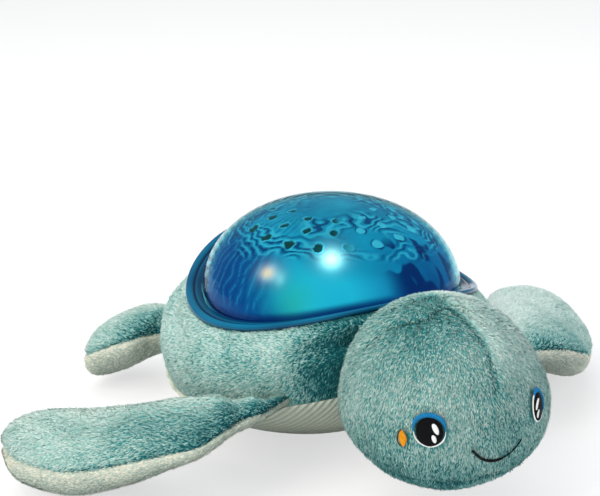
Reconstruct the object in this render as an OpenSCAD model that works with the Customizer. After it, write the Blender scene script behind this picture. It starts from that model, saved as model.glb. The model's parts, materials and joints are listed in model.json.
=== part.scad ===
// Plush sea turtle with a night light projector set into its back.
// Z is up and zero on the floor, the dome's axis is x = y = 0, the turtle faces -Y and its left is +X.

/* [Shell] */
// Radius of the blue rim's outer edge
rim_r = 82; // [79:0.5:86]
// Height of the rim's lower edge at the flanks
rim_z = 77.5; // [75:0.5:82]
// How far the rim climbs at the front and the rear
rim_rise = 22; // [14:1:25]
// Thickness of the rim
rim_t = 3.6; // [2.6:0.2:5]
// Radius of the dome at the level of the rim's flanks
dome_r = 73.5; // [71:0.5:75]
// Height of the dome above the rim's lower edge
dome_h = 56; // [52:1:62]
// Roundness of the dome's outline, where 2 is an ellipse
dome_power = 2.2; // [2:0.05:2.5]
// Wall of the dome
dome_wall = 2; // [1.4:0.2:2.6]
// Clear space between the dome and the fish mask under it
mask_gap = 1.6; // [1:0.2:2.4]
// Wall of the fish mask
mask_wall = 1.2; // [0.8:0.1:1.6]
// Radius of a window in the fish mask
window_r = 2.2; // [1.6:0.1:2.8]

/* [Tub] */
// Outer radius of the tub's upper part
tub_r = 68; // [66:0.5:70]
// Wall of the tub
tub_wall = 2; // [1.6:0.2:2.6]
// Floor of the tub and of its foot
floor_t = 2.5; // [2.2:0.1:3]
// Depth of the tub's upper part under the rim's flanks
tub_depth = 28.5; // [26:0.5:30]
// Outer radius of the foot that the turtle rests on
foot_r = 37; // [36.5:0.5:40]
// How far the foot lies behind the dome's axis
foot_back = 26; // [22:1:27]
// Diameter of a battery cell
cell_d = 10.5; // [9.6:0.1:10.8]
// Length of a battery cell with its nub
cell_l = 44.5; // [42:0.5:45]
// Radius of the speaker
speaker_r = 15; // [12:0.5:16]

/* [Drive] */
// Module of the gear teeth
gear_m = 0.8; // [0.7:0.05:0.85]
// Teeth on the motor's pinion and on the idler's small gear
pinion_teeth = 12; // [11:1:13]
// Teeth on the idler's large gear
idler_teeth = 36; // [32:1:38]
// Teeth on the drum's gear
drum_teeth = 60; // [54:1:62]
// Width of the gear faces
gear_w = 3.4; // [2.6:0.2:3.6]
// Radius of the post that the drum turns on
post_r = 7; // [6:0.5:8]
// Height of the post above its collar
post_h = 12.4; // [11:0.2:15]
// Radius of the wave drum at its widest
drum_r = 36; // [32:0.5:40]
// Height of the wave drum above its gear
drum_h = 36; // [31:1:38]
// Thickness of the chassis plate
plate_t = 2.5; // [2:0.1:3]
// Radius of the motor
motor_r = 10; // [8:0.5:11]
// Length of the motor's can
motor_l = 20; // [16:1:22]

/* [Controls] */
// Radius of a push button
button_r = 4.6; // [4:0.1:5]
// Distance between two buttons
button_pitch = 15; // [13.5:0.5:16]
// How far a button travels
button_travel = 0.7; // [0.4:0.1:0.8]
// Width of the control panel
panel_w = 52; // [50:1:56]
// Depth of the control panel behind the rim
panel_d = 16; // [15.5:0.5:19]

/* [Plush] */
// How far the body swells past the rim at the flanks
swell_side = 17; // [12:0.5:19]
// How far the body swells past the rim at the front
swell_front = 8; // [5:0.5:11]
// How far the body swells past the rim at the rear
swell_rear = 15; // [10:0.5:18]
// Height of the plush side from the rim to the belly's seam
seam_drop = 40; // [37:1:44]
// Width of the belly's flat ring round the foot
belly_ring = 4; // [3:0.5:6]
// Width of the head
head_w = 101; // [90:1:108]
// Length of the head with its hidden back
head_l = 108; // [98:1:116]
// Height of the head
head_h = 94; // [86:1:100]
// How far the head's middle lies in front of its neck
head_ahead = 31; // [26:1:36]
// How far the head nods up and down
head_nod = 6; // [3:0.5:8]
// Length of a front flipper from its root
front_l = 138; // [124:1:146]
// Width of a front flipper
front_w = 74; // [64:1:78]
// Thickness of a front flipper
front_t = 34; // [28:1:36]
// Length of a rear flipper from its root
rear_l = 51; // [46:1:58]
// Width of a rear flipper
rear_w = 58; // [50:1:62]
// Thickness of a rear flipper
rear_t = 36; // [30:1:38]
// Diameter of an embroidered eye
eye_d = 20; // [16:0.5:24]

/* [Hidden] */
$fn = 72;

// Clearances: soft against hard, fixed parts, a turning or sliding fit, a cut through a face
soft_gap = 0.5;
part_gap = 0.3;
fit = 0.05;
cut = 1;

// Saddle that the rim follows: one large cylinder along X over the turtle's back
saddle_r = (rim_r * rim_r + rim_rise * rim_rise) / (2 * rim_rise);
saddle_z = rim_z + saddle_r;
function rim_low(y) = saddle_z - sqrt(saddle_r * saddle_r - y * y);

// Levels of the tub and the chassis
floor_z = rim_z - tub_depth;
floor_top = floor_z + floor_t;
boss_h = 14.5;
plate_z = floor_top + boss_h;
plate_top = plate_z + plate_t;
tub_in = tub_r - tub_wall;
foot_in = foot_r - tub_wall;

// Screws: shank and head radii, head height, and the bosses that take them
shank_r = 1.4;
head_r = 2.9;
head_t = 2.2;
boss_r = 3.6;
pad_h = 5;
rim_boss_at = tub_in - 1.2 - boss_r;
plate_r = rim_boss_at - boss_r - 1.5;
rim_boss_angles = [45, 135, 225, 315];
chassis_front = plate_r - 8;
chassis_points = [
    [chassis_front * cos(45), -chassis_front * sin(45)],
    [-chassis_front * cos(45), -chassis_front * sin(45)],
    [foot_r + boss_r - 0.6, foot_back],
    [-foot_r - boss_r + 0.6, foot_back]
];

// Battery bay: three cells side by side across the foot
cells = 3;
cell_pitch = cell_d + 0.4;
spring_l = 4.5;
contact_t = 0.5;
nub_r = 1.9;
nub_l = 1;
bay_x = cell_l + spring_l + 2 * contact_t;
bay_y = cells * cell_pitch;
bay_wall = 1.4;
bay_lip = 1;
door_up = 0.4;
door_t = floor_t - door_up - 0.2;
door_top = door_up + door_t;
cell_z = door_top + 0.3 + cell_d / 2;
bay_top = cell_z + cell_d / 2 + 0.5;
bay_roof = bay_top + bay_wall;
ear_r = 4.5;
ear_y = foot_back + bay_y / 2 + bay_lip + 3.2;
ear_boss_h = 8;

// Circuit board over the bay
board_x = 52;
board_y = 32;
board_t = 1.6;
standoff_h = 10;
board_z = bay_roof + standoff_h;
board_top = board_z + board_t;
board_inset = 4;
chip_x = -8;
chip_w = 12;
chip_t = 2;
capacitor_x = [6, 15];
capacitor_r = 3.4;
capacitor_h = 8;
socket_pitch = 11;
socket_w = 8;
socket_d = 5;
board_points = [for (x = [-1, 1], y = [-1, 1])
    [x * (board_x / 2 - board_inset), foot_back + y * (board_y / 2 - board_inset)]];

// Speaker on the tub's floor in front of the foot
speaker_y = -(tub_in - speaker_r - 2);
magnet_r = speaker_r / 2;
basket_h = 7;
magnet_h = 4.6;
speaker_lip = 2.5;
flange_t = 1.6;
cone_t = 0.5;
cone_h = 4.2;
cap_r = 4;
cone_travel = 0.3;
cone_up = cone_travel + 0.2;

// Gear train: drum in the middle, idler behind it, motor beside the idler
pressure = 25;
addendum = 0.8 * gear_m;
dedendum = 1.05 * gear_m;
backlash = 0.12;
flank_steps = 3;
function pitch_r(teeth) = gear_m * teeth / 2;
idler_y = pitch_r(drum_teeth) + pitch_r(pinion_teeth);
motor_x = pitch_r(idler_teeth) + pitch_r(pinion_teeth);
idler_pin_r = 1.5;
shaft_r = 1;
motor_boss_r = 3;
motor_boss_h = 1.6;
motor_screw_at = 7.2;
motor_shank_r = 0.9;
motor_head_r = 1.6;
motor_head_t = 0.9;
idler_z = plate_top + part_gap;
step_z = idler_z + gear_w;
drum_z = step_z + 1.6;
gear_top = drum_z + gear_w;
pinion_z = plate_top + motor_head_t + part_gap;

// Post, drum and lamps over the chassis
collar_r = post_r + 2.5;
collar_top = drum_z - part_gap;
post_top = collar_top + post_h;
wire_hole_r = 2.5;
clip_t = 1;
clip_z = post_top - clip_t - 0.8;
hub_r = post_r + 3;
hub_top = clip_z - part_gap;
drum_foot_r = pitch_r(drum_teeth) - dedendum - 1.5;
drum_wall = 1.2;
drum_lift = 1.2;
ripples = 7;
ripple_depth = 0.5;
led_board_r = 11;
led_board_t = 1.6;
led_r = 2.5;
led_at = 7.8;
led_h = 3;

// Control panel on the rim's edge, turned to the left rear of the dome and tilted to follow the rim's climb
panel_turn = -40;
panel_y = rim_r * cos(panel_turn);
panel_tilt = -atan(panel_y / sqrt(saddle_r * saddle_r - panel_y * panel_y) * sin(panel_turn));
panel_z = rim_low(panel_y) + 1.2;
panel_h = 8;
panel_wall = 1.6;
panel_corner = 5;
panel_back = rim_r + panel_d;
panel_front = rim_r - 12;
base_t = 1.4;
button_y = panel_back - panel_wall - button_r - 2;
button_up = 1.6;
button_lip = 0.9;
lip_t = 1.5;
panel_roof = panel_h - panel_wall;
lip_top = panel_roof - 0.1;
switch_t = 1.2;
switch_w = 4.6;
key_board_t = 1.2;
switch_top = lip_top - lip_t - button_travel - 0.1;
key_board_top = switch_top - switch_t;
key_board_w = panel_w - 2 * panel_wall - 6;
key_board_d = 7;

// Plush body: polar angle 0 is the turtle's left, 270 its front
turn_steps = 48;
side_steps = 8;
belly_steps = 7;
tuck = 1;
arc_top = 30;
arc_end = 120;
belly_power = 1.25;
belly_low = 0.3;
cavity_r = tub_r + soft_gap;
seam_in_z = floor_z + 3;
function swell(a) = swell_side * cos(a) * cos(a)
    + (sin(a) < 0 ? swell_front : swell_rear) * sin(a) * sin(a);
function side_r(a, k) = rim_r - tuck
    + swell(a) * (sin(k) - sin(arc_top)) / (1 - sin(arc_top));
function side_top(a) = rim_low((rim_r - tuck) * sin(a)) - soft_gap;
function side_z(a, k) = side_top(a)
    - seam_drop * (cos(arc_top) - cos(k)) / (cos(arc_top) - cos(arc_end));
function around(r, a, z) = [r * cos(a), r * sin(a), z];
function side_point(a, k) = around(side_r(a, k), a, side_z(a, k));
function seam_point(a) = side_point(a, arc_end);
function seam_in(a) = let (climb = side_z(a, arc_end) - side_z(0, arc_end))
    around(cavity_r, a, seam_in_z + climb * cavity_r / side_r(a, arc_end));
function behind(r, a, z) = [r * cos(a), foot_back + r * sin(a), z];
function belly_point(a, u) =
    let (seam = seam_point(a), low = behind(foot_r + belly_ring, a, belly_low))
    let (out = pow(cos(u), 2 / belly_power), down = pow(sin(u), 2 / belly_power))
    [
        low[0] + (seam[0] - low[0]) * out,
        low[1] + (seam[1] - low[1]) * out,
        seam[2] + (low[2] - seam[2]) * down
    ];

// Head: an egg on its side, with its back cut to a blunt wedge that leaves room to nod
neck_drop = 4.3;
neck_z = side_z(270, 90) - neck_drop;
neck_y = -side_r(270, 90) - soft_gap;
head_y = neck_y - head_ahead;
head_power = 2.2;
head_egg = 0.1;
head_round = 32;
head_rings = 13;
neck_slope = tan(head_nod + 1.5);
function round_cos(t) = sign(cos(t)) * pow(abs(cos(t)), 2 / head_power);
function round_sin(t) = sign(sin(t)) * pow(abs(sin(t)), 2 / head_power);
function head_point(f, t) =
    let (up = round_cos(f) * round_sin(t))
    [
        head_w / 2 * round_cos(f) * round_cos(t) * (1 - head_egg * up),
        head_y - head_l / 2 * round_sin(f),
        neck_z + head_h / 2 * up
    ];
function arc_back(f) = sign(f) * asin(min(1, pow(abs(f), head_power / 2)));
function head_back(t, f, tries) =
    let (rise = abs(head_point(f, t)[2] - neck_z))
    tries == 0 ? f : head_back(t, arc_back((rise * neck_slope - head_ahead) / (head_l / 2)), tries - 1);

// Eyes on the head: angle forward and angle round the head's long axis
right_eye_at = [51, 1];
left_eye_at = [57, 9];
eye_t = 1;

// Flippers: place and heading of each root, sideways bend, height and roll of the outer end,
// clearance from the body and extra width of the root where its back edge meets the body,
// and the shares of the length over which the rounded end and the swelling edges reach
front_root = 221;
front_root_arc = 108;
right_heading = 155;
right_bend = 21;
right_tip_z = 22;
right_roll = -2;
right_clear = 1.7;
right_flare = 0;
left_heading = 134;
left_bend = 5;
left_tip_z = 29;
left_roll = 23;
left_clear = 2.53;
left_flare = 1.8;
front_root_w = 19;
front_root_t = 13;
rear_root = 132;
rear_heading = 121;
rear_bend = -8;
rear_root_w = 24;
rear_root_t = 12;
rear_root_up = -2;
rear_tip_z = 19.5;
rear_roll = 6;
rear_clear = 0.5;
flare_l = 7;
ring_points = 20;
flipper_rings = 13;
flipper_power = 2.2;
tip_share = 0.3;
front_edge_share = 0.32;
back_edge_share = 0.95;
function ease(t) = let (c = min(1, max(0, t))) c * c * (3 - 2 * c);

// Root of a front flipper: its inner edge lies clear of the body's side, a little above the seam
function front_point(heading, clear) =
    let (out = side_r(front_root, front_root_arc) + clear, reach = front_root_w / 2 + soft_gap)
    let (side = around(out, front_root, side_z(front_root, front_root_arc)))
    [
        side[0] - reach * sin(heading),
        side[1] + reach * cos(heading),
        side[2]
    ];

// Root of a rear flipper: its rounded end lies clear of the body's side at the seam
function rear_point() =
    let (seam = seam_point(rear_root), reach = rear_root_t / 2 + soft_gap + rear_clear)
    [
        seam[0] + reach * cos(rear_heading),
        seam[1] + reach * sin(rear_heading),
        seam[2] + rear_root_up
    ];

module saddle(lift) {
    translate([0, 0, saddle_z])
        rotate([0, 90, 0])
            cylinder(r = saddle_r - lift, h = 6 * rim_r, center = true, $fn = 180);
}

module tube(outer, inner, h) {
    difference() {
        cylinder(r = outer, h = h);
        translate([0, 0, -cut])
            cylinder(r = inner, h = h + 2 * cut);
    }
}

module box_on(w, d, h) {
    translate([-w / 2, -d / 2, 0])
        cube([w, d, h]);
}

module screw(shank, shank_l, head, head_h) {
    cylinder(r = shank, h = shank_l);
    translate([0, 0, -head_h])
        cylinder(r = head, h = head_h);
}

// Rings of points joined into one closed skin, with flat ends
module loft(rings) {
    n = len(rings[0]);
    last = len(rings) - 1;
    skin = [for (i = [0:last - 1], j = [0:n - 1], half = [0, 1])
        let (a = i * n + j, b = i * n + (j + 1) % n)
        half == 0 ? [a, b, b + n] : [a, b + n, a + n]];
    ends = [for (j = [1:n - 2], end = [0, 1])
        end == 0 ? [0, j + 1, j] : [last * n, last * n + j, last * n + j + 1]];
    polyhedron(points = [for (r = rings) for (p = r) p], faces = concat(skin, ends));
}

// Closed outline carried round a full turn
module ring_loft(rings) {
    n = len(rings[0]);
    turns = len(rings);
    skin = [for (i = [0:turns - 1], j = [0:n - 1], half = [0, 1])
        let (next = (i + 1) % turns, k = (j + 1) % n)
        half == 0 ? [i * n + j, i * n + k, next * n + k] : [i * n + j, next * n + k, next * n + j]];
    polyhedron(points = [for (r = rings) for (p = r) p], faces = skin);
}

module dome_solid(inset) {
    steps = 20;
    outline = [for (k = [0:steps]) let (s = 90 * k / steps) [
        (dome_r - inset) * pow(cos(s), 2 / dome_power),
        (dome_h - inset) * pow(sin(s), 2 / dome_power)
    ]];
    translate([0, 0, rim_z])
        rotate_extrude($fn = 120)
            polygon(concat([[0, 0]], outline));
}

module dome_shell() {
    color([0.05, 0.36, 0.6])
        intersection() {
            difference() {
                dome_solid(0);
                dome_solid(dome_wall);
            }
            saddle(rim_t);
        }
}

// Inner dome whose small windows throw the fish on the ceiling
module fish_mask() {
    inset = dome_wall + mask_gap;
    rows = [[44, 17, 0], [55, 14, 0.5], [66, 9, 0.2]];
    color([0.1, 0.62, 0.75])
        intersection() {
            difference() {
                dome_solid(inset);
                dome_solid(inset + mask_wall);
                for (row = rows, k = [0:row[1] - 1])
                    translate([0, 0, rim_z])
                        rotate([0, 90 - row[0], 360 * (k + row[2]) / row[1]])
                            translate([0, 0, dome_h - 14])
                                cylinder(r = window_r, h = dome_r, $fn = 24);
            }
            saddle(rim_t);
        }
}

// Saddle-shaped ring that clamps the plush, with four screw bosses inside the tub
module rim_bezel() {
    rim_in = rim_boss_at - boss_r / 2;
    color([0.04, 0.3, 0.45])
        difference() {
            union() {
                intersection() {
                    cylinder(r = rim_r, h = saddle_z, $fn = 120);
                    saddle(0);
                }
                for (a = rim_boss_angles)
                    rotate([0, 0, a])
                        translate([rim_boss_at, 0, floor_z + pad_h])
                            cylinder(r = boss_r, h = saddle_z / 2);
            }
            saddle(rim_t);
            difference() {
                cylinder(r = rim_in, h = saddle_z);
                for (a = rim_boss_angles)
                    rotate([0, 0, a])
                        translate([rim_boss_at, 0, 0])
                            cylinder(r = boss_r, h = saddle_z);
            }
            for (a = rim_boss_angles)
                rotate([0, 0, a])
                    translate([rim_boss_at, 0, floor_z])
                        cylinder(r = shank_r, h = pad_h + 9);
        }
}

module rim_screws() {
    color("silver")
        for (a = rim_boss_angles)
            rotate([0, 0, a])
                translate([rim_boss_at, 0, floor_z + head_t])
                    screw(shank_r, pad_h - head_t + 8, head_r, head_t);
}

// Hard tub that holds the works, with the foot under it
module tub() {
    color([0.86, 0.87, 0.85])
        difference() {
            union() {
                difference() {
                    union() {
                        translate([0, 0, floor_z])
                            cylinder(r = tub_r, h = rim_rise + tub_depth + rim_t, $fn = 120);
                        translate([0, foot_back, 0])
                            cylinder(r = foot_r, h = floor_top);
                    }
                    saddle(0);
                    translate([0, 0, floor_top])
                        cylinder(r = tub_in, h = saddle_z, $fn = 120);
                    translate([0, foot_back, floor_t])
                        cylinder(r = foot_in, h = floor_top);
                }
                for (p = chassis_points)
                    translate([p[0], p[1], floor_z])
                        cylinder(r = boss_r, h = plate_z - floor_z);
                for (a = rim_boss_angles)
                    rotate([0, 0, a])
                        translate([rim_boss_at, 0, floor_z])
                            cylinder(r = boss_r, h = pad_h);
                translate([0, foot_back, floor_t / 2])
                    box_on(bay_x + 2 * bay_wall, bay_y + 2 * bay_wall, bay_roof - floor_t / 2);
                translate([0, ear_y, floor_t / 2])
                    cylinder(r = ear_r + bay_wall, h = ear_boss_h);
                for (p = board_points)
                    translate([p[0], p[1], bay_top])
                        cylinder(r = boss_r - 0.6, h = board_z - bay_top);
            }
            translate([0, foot_back, -cut])
                box_on(bay_x, bay_y, bay_top + cut);
            translate([0, foot_back, -cut])
                box_on(bay_x + 2 * bay_lip, bay_y + 2 * bay_lip, floor_t + cut);
            translate([0, ear_y, -cut])
                cylinder(r = ear_r + part_gap, h = floor_t + cut);
            translate([0, ear_y, 0])
                cylinder(r = shank_r + fit, h = ear_boss_h);
            for (p = chassis_points)
                translate([p[0], p[1], floor_top])
                    cylinder(r = shank_r, h = boss_h + cut);
            for (p = board_points)
                translate([p[0], p[1], bay_roof])
                    cylinder(r = shank_r, h = standoff_h + cut);
            for (a = rim_boss_angles)
                rotate([0, 0, a])
                    translate([rim_boss_at, 0, floor_z - cut]) {
                        cylinder(r = head_r, h = head_t + cut);
                        cylinder(r = shank_r, h = pad_h + 2 * cut);
                    }
            grille();
        }
}

// Sound holes under the speaker
module grille() {
    hole_r = 1.2;
    rings = [[0, 1], [0.3, 6], [0.6, 12]];
    translate([0, speaker_y, floor_z - cut])
        for (ring = rings, k = [0:ring[1] - 1])
            rotate([0, 0, 360 * k / ring[1]])
                translate([ring[0] * speaker_r, 0, 0])
                    cylinder(r = hole_r, h = floor_t + 2 * cut, $fn = 24);
}

module battery_door() {
    side = bay_lip - part_gap;
    color([0.8, 0.81, 0.79])
        difference() {
            union() {
                translate([0, foot_back, door_up])
                    box_on(bay_x + 2 * side, bay_y + 2 * side, door_t);
                translate([0, ear_y, door_up])
                    cylinder(r = ear_r, h = door_t);
            }
            translate([0, ear_y, 0])
                cylinder(r = shank_r, h = floor_t);
            translate([0, ear_y, 0])
                cylinder(r = head_r, h = door_up + door_t / 2);
        }
}

module battery_door_screw() {
    seat = door_up + door_t / 2;
    color("silver")
        translate([0, ear_y, seat])
            screw(shank_r, ear_boss_h - seat - 1, head_r, door_t / 2);
}

// One cell, nub towards the side given by way
module cell(row) {
    way = row % 2 == 0 ? 1 : -1;
    end = bay_x / 2 - contact_t;
    color([0.75, 0.55, 0.2])
        translate([way * end, foot_back + (row - 1) * cell_pitch, cell_z])
            rotate([0, -90 * way, 0]) {
                cylinder(r = nub_r, h = nub_l);
                translate([0, 0, nub_l])
                    cylinder(r = cell_d / 2, h = cell_l - nub_l);
            }
}

module battery_1() {
    cell(0);
}

module battery_2() {
    cell(1);
}

module battery_3() {
    cell(2);
}

module contact_plates() {
    plate = cell_d - 3;
    color("gold")
        for (x = [-1, 1], row = [0:cells - 1])
            translate([x * (bay_x / 2 - contact_t / 2), foot_back + (row - 1) * cell_pitch, cell_z])
                cube([contact_t, plate, plate], center = true);
}

module contact_springs() {
    color("silver")
        for (row = [0:cells - 1]) {
            way = row % 2 == 0 ? -1 : 1;
            translate([way * (bay_x / 2 - contact_t), foot_back + (row - 1) * cell_pitch, cell_z])
                rotate([0, -90 * way, 0])
                    cylinder(r1 = cell_d / 3, r2 = nub_r, h = spring_l);
        }
}

module main_board() {
    color([0.1, 0.4, 0.2])
        difference() {
            translate([0, foot_back, board_z])
                box_on(board_x, board_y, board_t);
            for (p = board_points)
                translate([p[0], p[1], board_z - cut])
                    cylinder(r = shank_r, h = board_t + 2 * cut);
        }
}

module board_screws() {
    color("silver")
        for (p = board_points)
            translate([p[0], p[1], board_top])
                rotate([180, 0, 0])
                    screw(shank_r, board_t + standoff_h - 2, head_r, head_t);
}

module sound_chip() {
    color([0.12, 0.12, 0.13])
        translate([chip_x, foot_back, board_top])
            box_on(chip_w, chip_w, chip_t);
}

module capacitors() {
    color([0.2, 0.25, 0.4])
        for (x = capacitor_x)
            translate([x, foot_back - capacitor_r - 2, board_top])
                cylinder(r = capacitor_r, h = capacitor_h);
}

module wire_sockets() {
    color([0.9, 0.88, 0.8])
        for (k = [-1:1])
            translate([k * socket_pitch, foot_back + board_y / 2 - socket_d / 2 - 1, board_top])
                box_on(socket_w, socket_d, socket_d);
}

module speaker_frame() {
    lip = speaker_r - speaker_lip;
    neck = magnet_r - 1.5;
    color([0.3, 0.31, 0.33])
        translate([0, speaker_y, floor_top])
            rotate_extrude()
                polygon([
                    [lip, 0], [speaker_r, 0], [speaker_r, flange_t], [magnet_r + 1, basket_h],
                    [neck, basket_h], [neck, basket_h - 1], [lip, flange_t - part_gap]
                ]);
}

module speaker_cone() {
    edge = speaker_r - speaker_lip - part_gap;
    color([0.16, 0.16, 0.17])
        translate([0, speaker_y, floor_top + cone_up])
            rotate_extrude()
                polygon([
                    [edge, 0], [edge, cone_t], [cap_r, cone_h], [0, cone_h + cone_t],
                    [0, cone_h], [cap_r, cone_h - cone_t]
                ]);
}

module speaker_magnet() {
    color([0.5, 0.5, 0.52])
        translate([0, speaker_y, floor_top + basket_h])
            cylinder(r = magnet_r, h = magnet_h);
}

// Plate over the tub that carries the motor, the idler's pin and the lamp post
module chassis_plate() {
    color([0.92, 0.92, 0.9])
        difference() {
            translate([0, 0, plate_z])
                cylinder(r = plate_r, h = plate_t, $fn = 120);
            for (p = chassis_points)
                translate([p[0], p[1], plate_z - cut])
                    cylinder(r = shank_r, h = plate_t + 2 * cut);
            translate([0, 0, plate_z - cut])
                cylinder(r = wire_hole_r, h = plate_t + 2 * cut);
            translate([0, idler_y, plate_z - cut])
                cylinder(r = idler_pin_r, h = plate_t + 2 * cut);
            translate([motor_x, idler_y, plate_z - cut]) {
                cylinder(r = motor_boss_r, h = plate_t + 2 * cut);
                for (way = [-1, 1])
                    translate([0, way * motor_screw_at, 0])
                        cylinder(r = motor_shank_r, h = plate_t + 2 * cut);
            }
        }
}

module chassis_screws() {
    color("silver")
        for (p = chassis_points)
            translate([p[0], p[1], plate_top])
                rotate([180, 0, 0])
                    screw(shank_r, plate_t + boss_h - 3, head_r, head_t);
}

module motor() {
    bore_l = 8;
    color([0.7, 0.71, 0.72])
        translate([motor_x, idler_y, plate_z])
            difference() {
                union() {
                    translate([0, 0, -motor_l])
                        cylinder(r = motor_r, h = motor_l);
                    cylinder(r = motor_boss_r, h = motor_boss_h);
                }
                translate([0, 0, -bore_l])
                    cylinder(r = shaft_r + fit, h = bore_l + motor_boss_h + cut);
                for (way = [-1, 1])
                    translate([0, way * motor_screw_at, -4])
                        cylinder(r = motor_shank_r, h = 4 + cut);
            }
}

module motor_screws() {
    color("silver")
        for (way = [-1, 1])
            translate([motor_x, idler_y + way * motor_screw_at, plate_top])
                rotate([180, 0, 0])
                    screw(motor_shank_r, plate_t + 3, motor_head_r, motor_head_t);
}

module motor_shaft() {
    color("silver")
        translate([motor_x, idler_y, plate_z - 7])
            cylinder(r = shaft_r, h = pinion_z + gear_w - plate_z + 7);
}

// Outline of a gear with true involute flanks, one tooth on the angle given
function involute(t) = tan(t) - t * PI / 180;
function flank_angle(teeth, r) =
    let (p = pitch_r(teeth), base = p * cos(pressure))
    let (half = PI / (2 * teeth) - backlash / (2 * p))
    let (lean = acos(min(1, base / r)))
    (half + involute(pressure) - involute(lean)) * 180 / PI;
function gear_outline(teeth, first) =
    let (p = pitch_r(teeth), base = p * cos(pressure), tip = p + addendum, root = p - dedendum)
    let (start = max(base, root))
    let (radii = [for (k = [0:flank_steps]) start + (tip - start) * k / flank_steps])
    [for (tooth = [0:teeth - 1])
        let (mid = first + 360 * tooth / teeth)
        for (q = concat(
            start > root ? [[root, -flank_angle(teeth, start)]] : [],
            [for (r = radii) [r, -flank_angle(teeth, r)]],
            [for (k = [flank_steps:-1:0]) [radii[k], flank_angle(teeth, radii[k])]],
            start > root ? [[root, flank_angle(teeth, start)]] : []
        )) [q[0] * cos(mid + q[1]), q[0] * sin(mid + q[1])]];

module gear(teeth, first, h) {
    linear_extrude(height = h)
        polygon(gear_outline(teeth, first));
}

module motor_pinion() {
    color([0.93, 0.9, 0.8])
        difference() {
            translate([motor_x, idler_y, pinion_z])
                gear(pinion_teeth, 180 + 180 / pinion_teeth, step_z - pinion_z);
            translate([motor_x, idler_y, 0])
                cylinder(r = shaft_r, h = saddle_z);
        }
}

module idler_pin() {
    color("silver")
        translate([0, idler_y, plate_z])
            cylinder(r = idler_pin_r, h = gear_top + 0.6 - plate_z);
}

module idler_gear() {
    color([0.95, 0.93, 0.85])
        translate([0, idler_y, idler_z])
            difference() {
                union() {
                    gear(idler_teeth, 0, gear_w);
                    gear(pinion_teeth, 270 + 180 / pinion_teeth, gear_top + 0.2 - idler_z);
                }
                translate([0, 0, -cut])
                    cylinder(r = idler_pin_r + fit, h = saddle_z);
            }
}

module led_post() {
    color([0.9, 0.9, 0.88])
        difference() {
            union() {
                translate([0, 0, plate_top])
                    cylinder(r = collar_r, h = collar_top - plate_top);
                translate([0, 0, plate_top])
                    cylinder(r = post_r, h = post_top - plate_top);
            }
            translate([0, 0, plate_top - cut])
                cylinder(r = wire_hole_r, h = post_top);
        }
}

module drum_gear() {
    color([0.95, 0.93, 0.85])
        difference() {
            union() {
                translate([0, 0, drum_z])
                    gear(drum_teeth, 90, gear_w);
                translate([0, 0, drum_z])
                    cylinder(r = hub_r, h = hub_top - drum_z);
            }
            cylinder(r = post_r + fit, h = saddle_z);
        }
}

module drum_clip() {
    color([0.3, 0.3, 0.32])
        translate([0, 0, clip_z])
            tube(post_r + 2, post_r, clip_t);
}

// Clear drum with raised rings that make the light ripple as it turns
module wave_drum() {
    steps = ripples * 6;
    function ripple(k, inset) = let (t = k / steps, s = -30 + 120 * t) [
        max(0, (drum_r - inset + ripple_depth * sin(360 * ripples * t)) * cos(s)),
        drum_h / 3 + (drum_h * 2 / 3 - inset) * sin(s)
    ];
    outer = [for (k = [0:steps]) ripple(k, 0)];
    inner = [for (k = [steps:-1:0]) ripple(k, drum_wall)];
    color([0.75, 0.9, 0.95])
        translate([0, 0, gear_top])
            difference() {
                union() {
                    translate([0, 0, drum_lift])
                        rotate_extrude()
                            polygon(concat(outer, inner));
                    translate([0, 0, drum_lift])
                        tube(drum_r * cos(30), drum_foot_r - 2, drum_wall);
                    tube(drum_foot_r, drum_foot_r - 2, drum_lift + drum_wall / 2);
                }
                translate([0, 0, -cut])
                    cylinder(r = drum_foot_r - 2, h = drum_lift + drum_wall + 2 * cut);
            }
}

module led_board() {
    color([0.95, 0.95, 0.93])
        translate([0, 0, post_top])
            tube(led_board_r, wire_hole_r, led_board_t);
}

module lamps(first) {
    for (a = [first:120:first + 240])
        rotate([0, 0, a])
            translate([led_at, 0, post_top + led_board_t]) {
                cylinder(r = led_r, h = led_h);
                translate([0, 0, led_h])
                    sphere(r = led_r);
            }
}

module white_leds() {
    color([0.98, 0.98, 0.94])
        lamps(0);
}

module amber_leds() {
    color([0.95, 0.65, 0.2])
        lamps(60);
}

// Frame of the control panel: its floor is z = 0 and it points away from the dome along +Y
module at_panel() {
    rotate([0, 0, panel_turn])
        translate([0, 0, panel_z])
            rotate([0, panel_tilt, 0])
                children();
}

// Plan of the control panel: a tab with two rounded corners
module panel_plan(inset) {
    r = panel_corner - inset;
    w = panel_w / 2 - inset;
    translate([-w, panel_front])
        square([2 * w, panel_back - inset - r - panel_front]);
    translate([-w + r, panel_front])
        square([2 * (w - r), panel_back - inset - panel_front]);
    for (x = [-1, 1])
        translate([x * (w - r), panel_back - inset - r])
            circle(r = r);
}

module control_panel() {
    color([0.05, 0.33, 0.5])
        difference() {
            at_panel()
                linear_extrude(height = panel_h)
                    panel_plan(0);
            cylinder(r = rim_r, h = saddle_z, $fn = 120);
            difference() {
                at_panel()
                    translate([0, 0, -cut])
                        linear_extrude(height = panel_roof + cut)
                            panel_plan(panel_wall);
                cylinder(r = rim_r + panel_wall, h = saddle_z, $fn = 120);
            }
            at_panel()
                for (k = [-1:1])
                    translate([k * button_pitch, button_y, panel_roof - cut])
                        cylinder(r = button_r + fit, h = panel_wall + 2 * cut);
        }
}

module control_base() {
    rib_w = 3;
    color([0.05, 0.3, 0.45]) {
        difference() {
            at_panel()
                translate([0, 0, -base_t])
                    linear_extrude(height = base_t)
                        panel_plan(0);
            cylinder(r = rim_r, h = saddle_z, $fn = 120);
        }
        at_panel()
            for (x = [-1, 1])
                translate([x * (key_board_w - rib_w) / 2, button_y, -base_t / 2])
                    box_on(rib_w, key_board_d, key_board_top - key_board_t + base_t / 2);
    }
}

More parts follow.
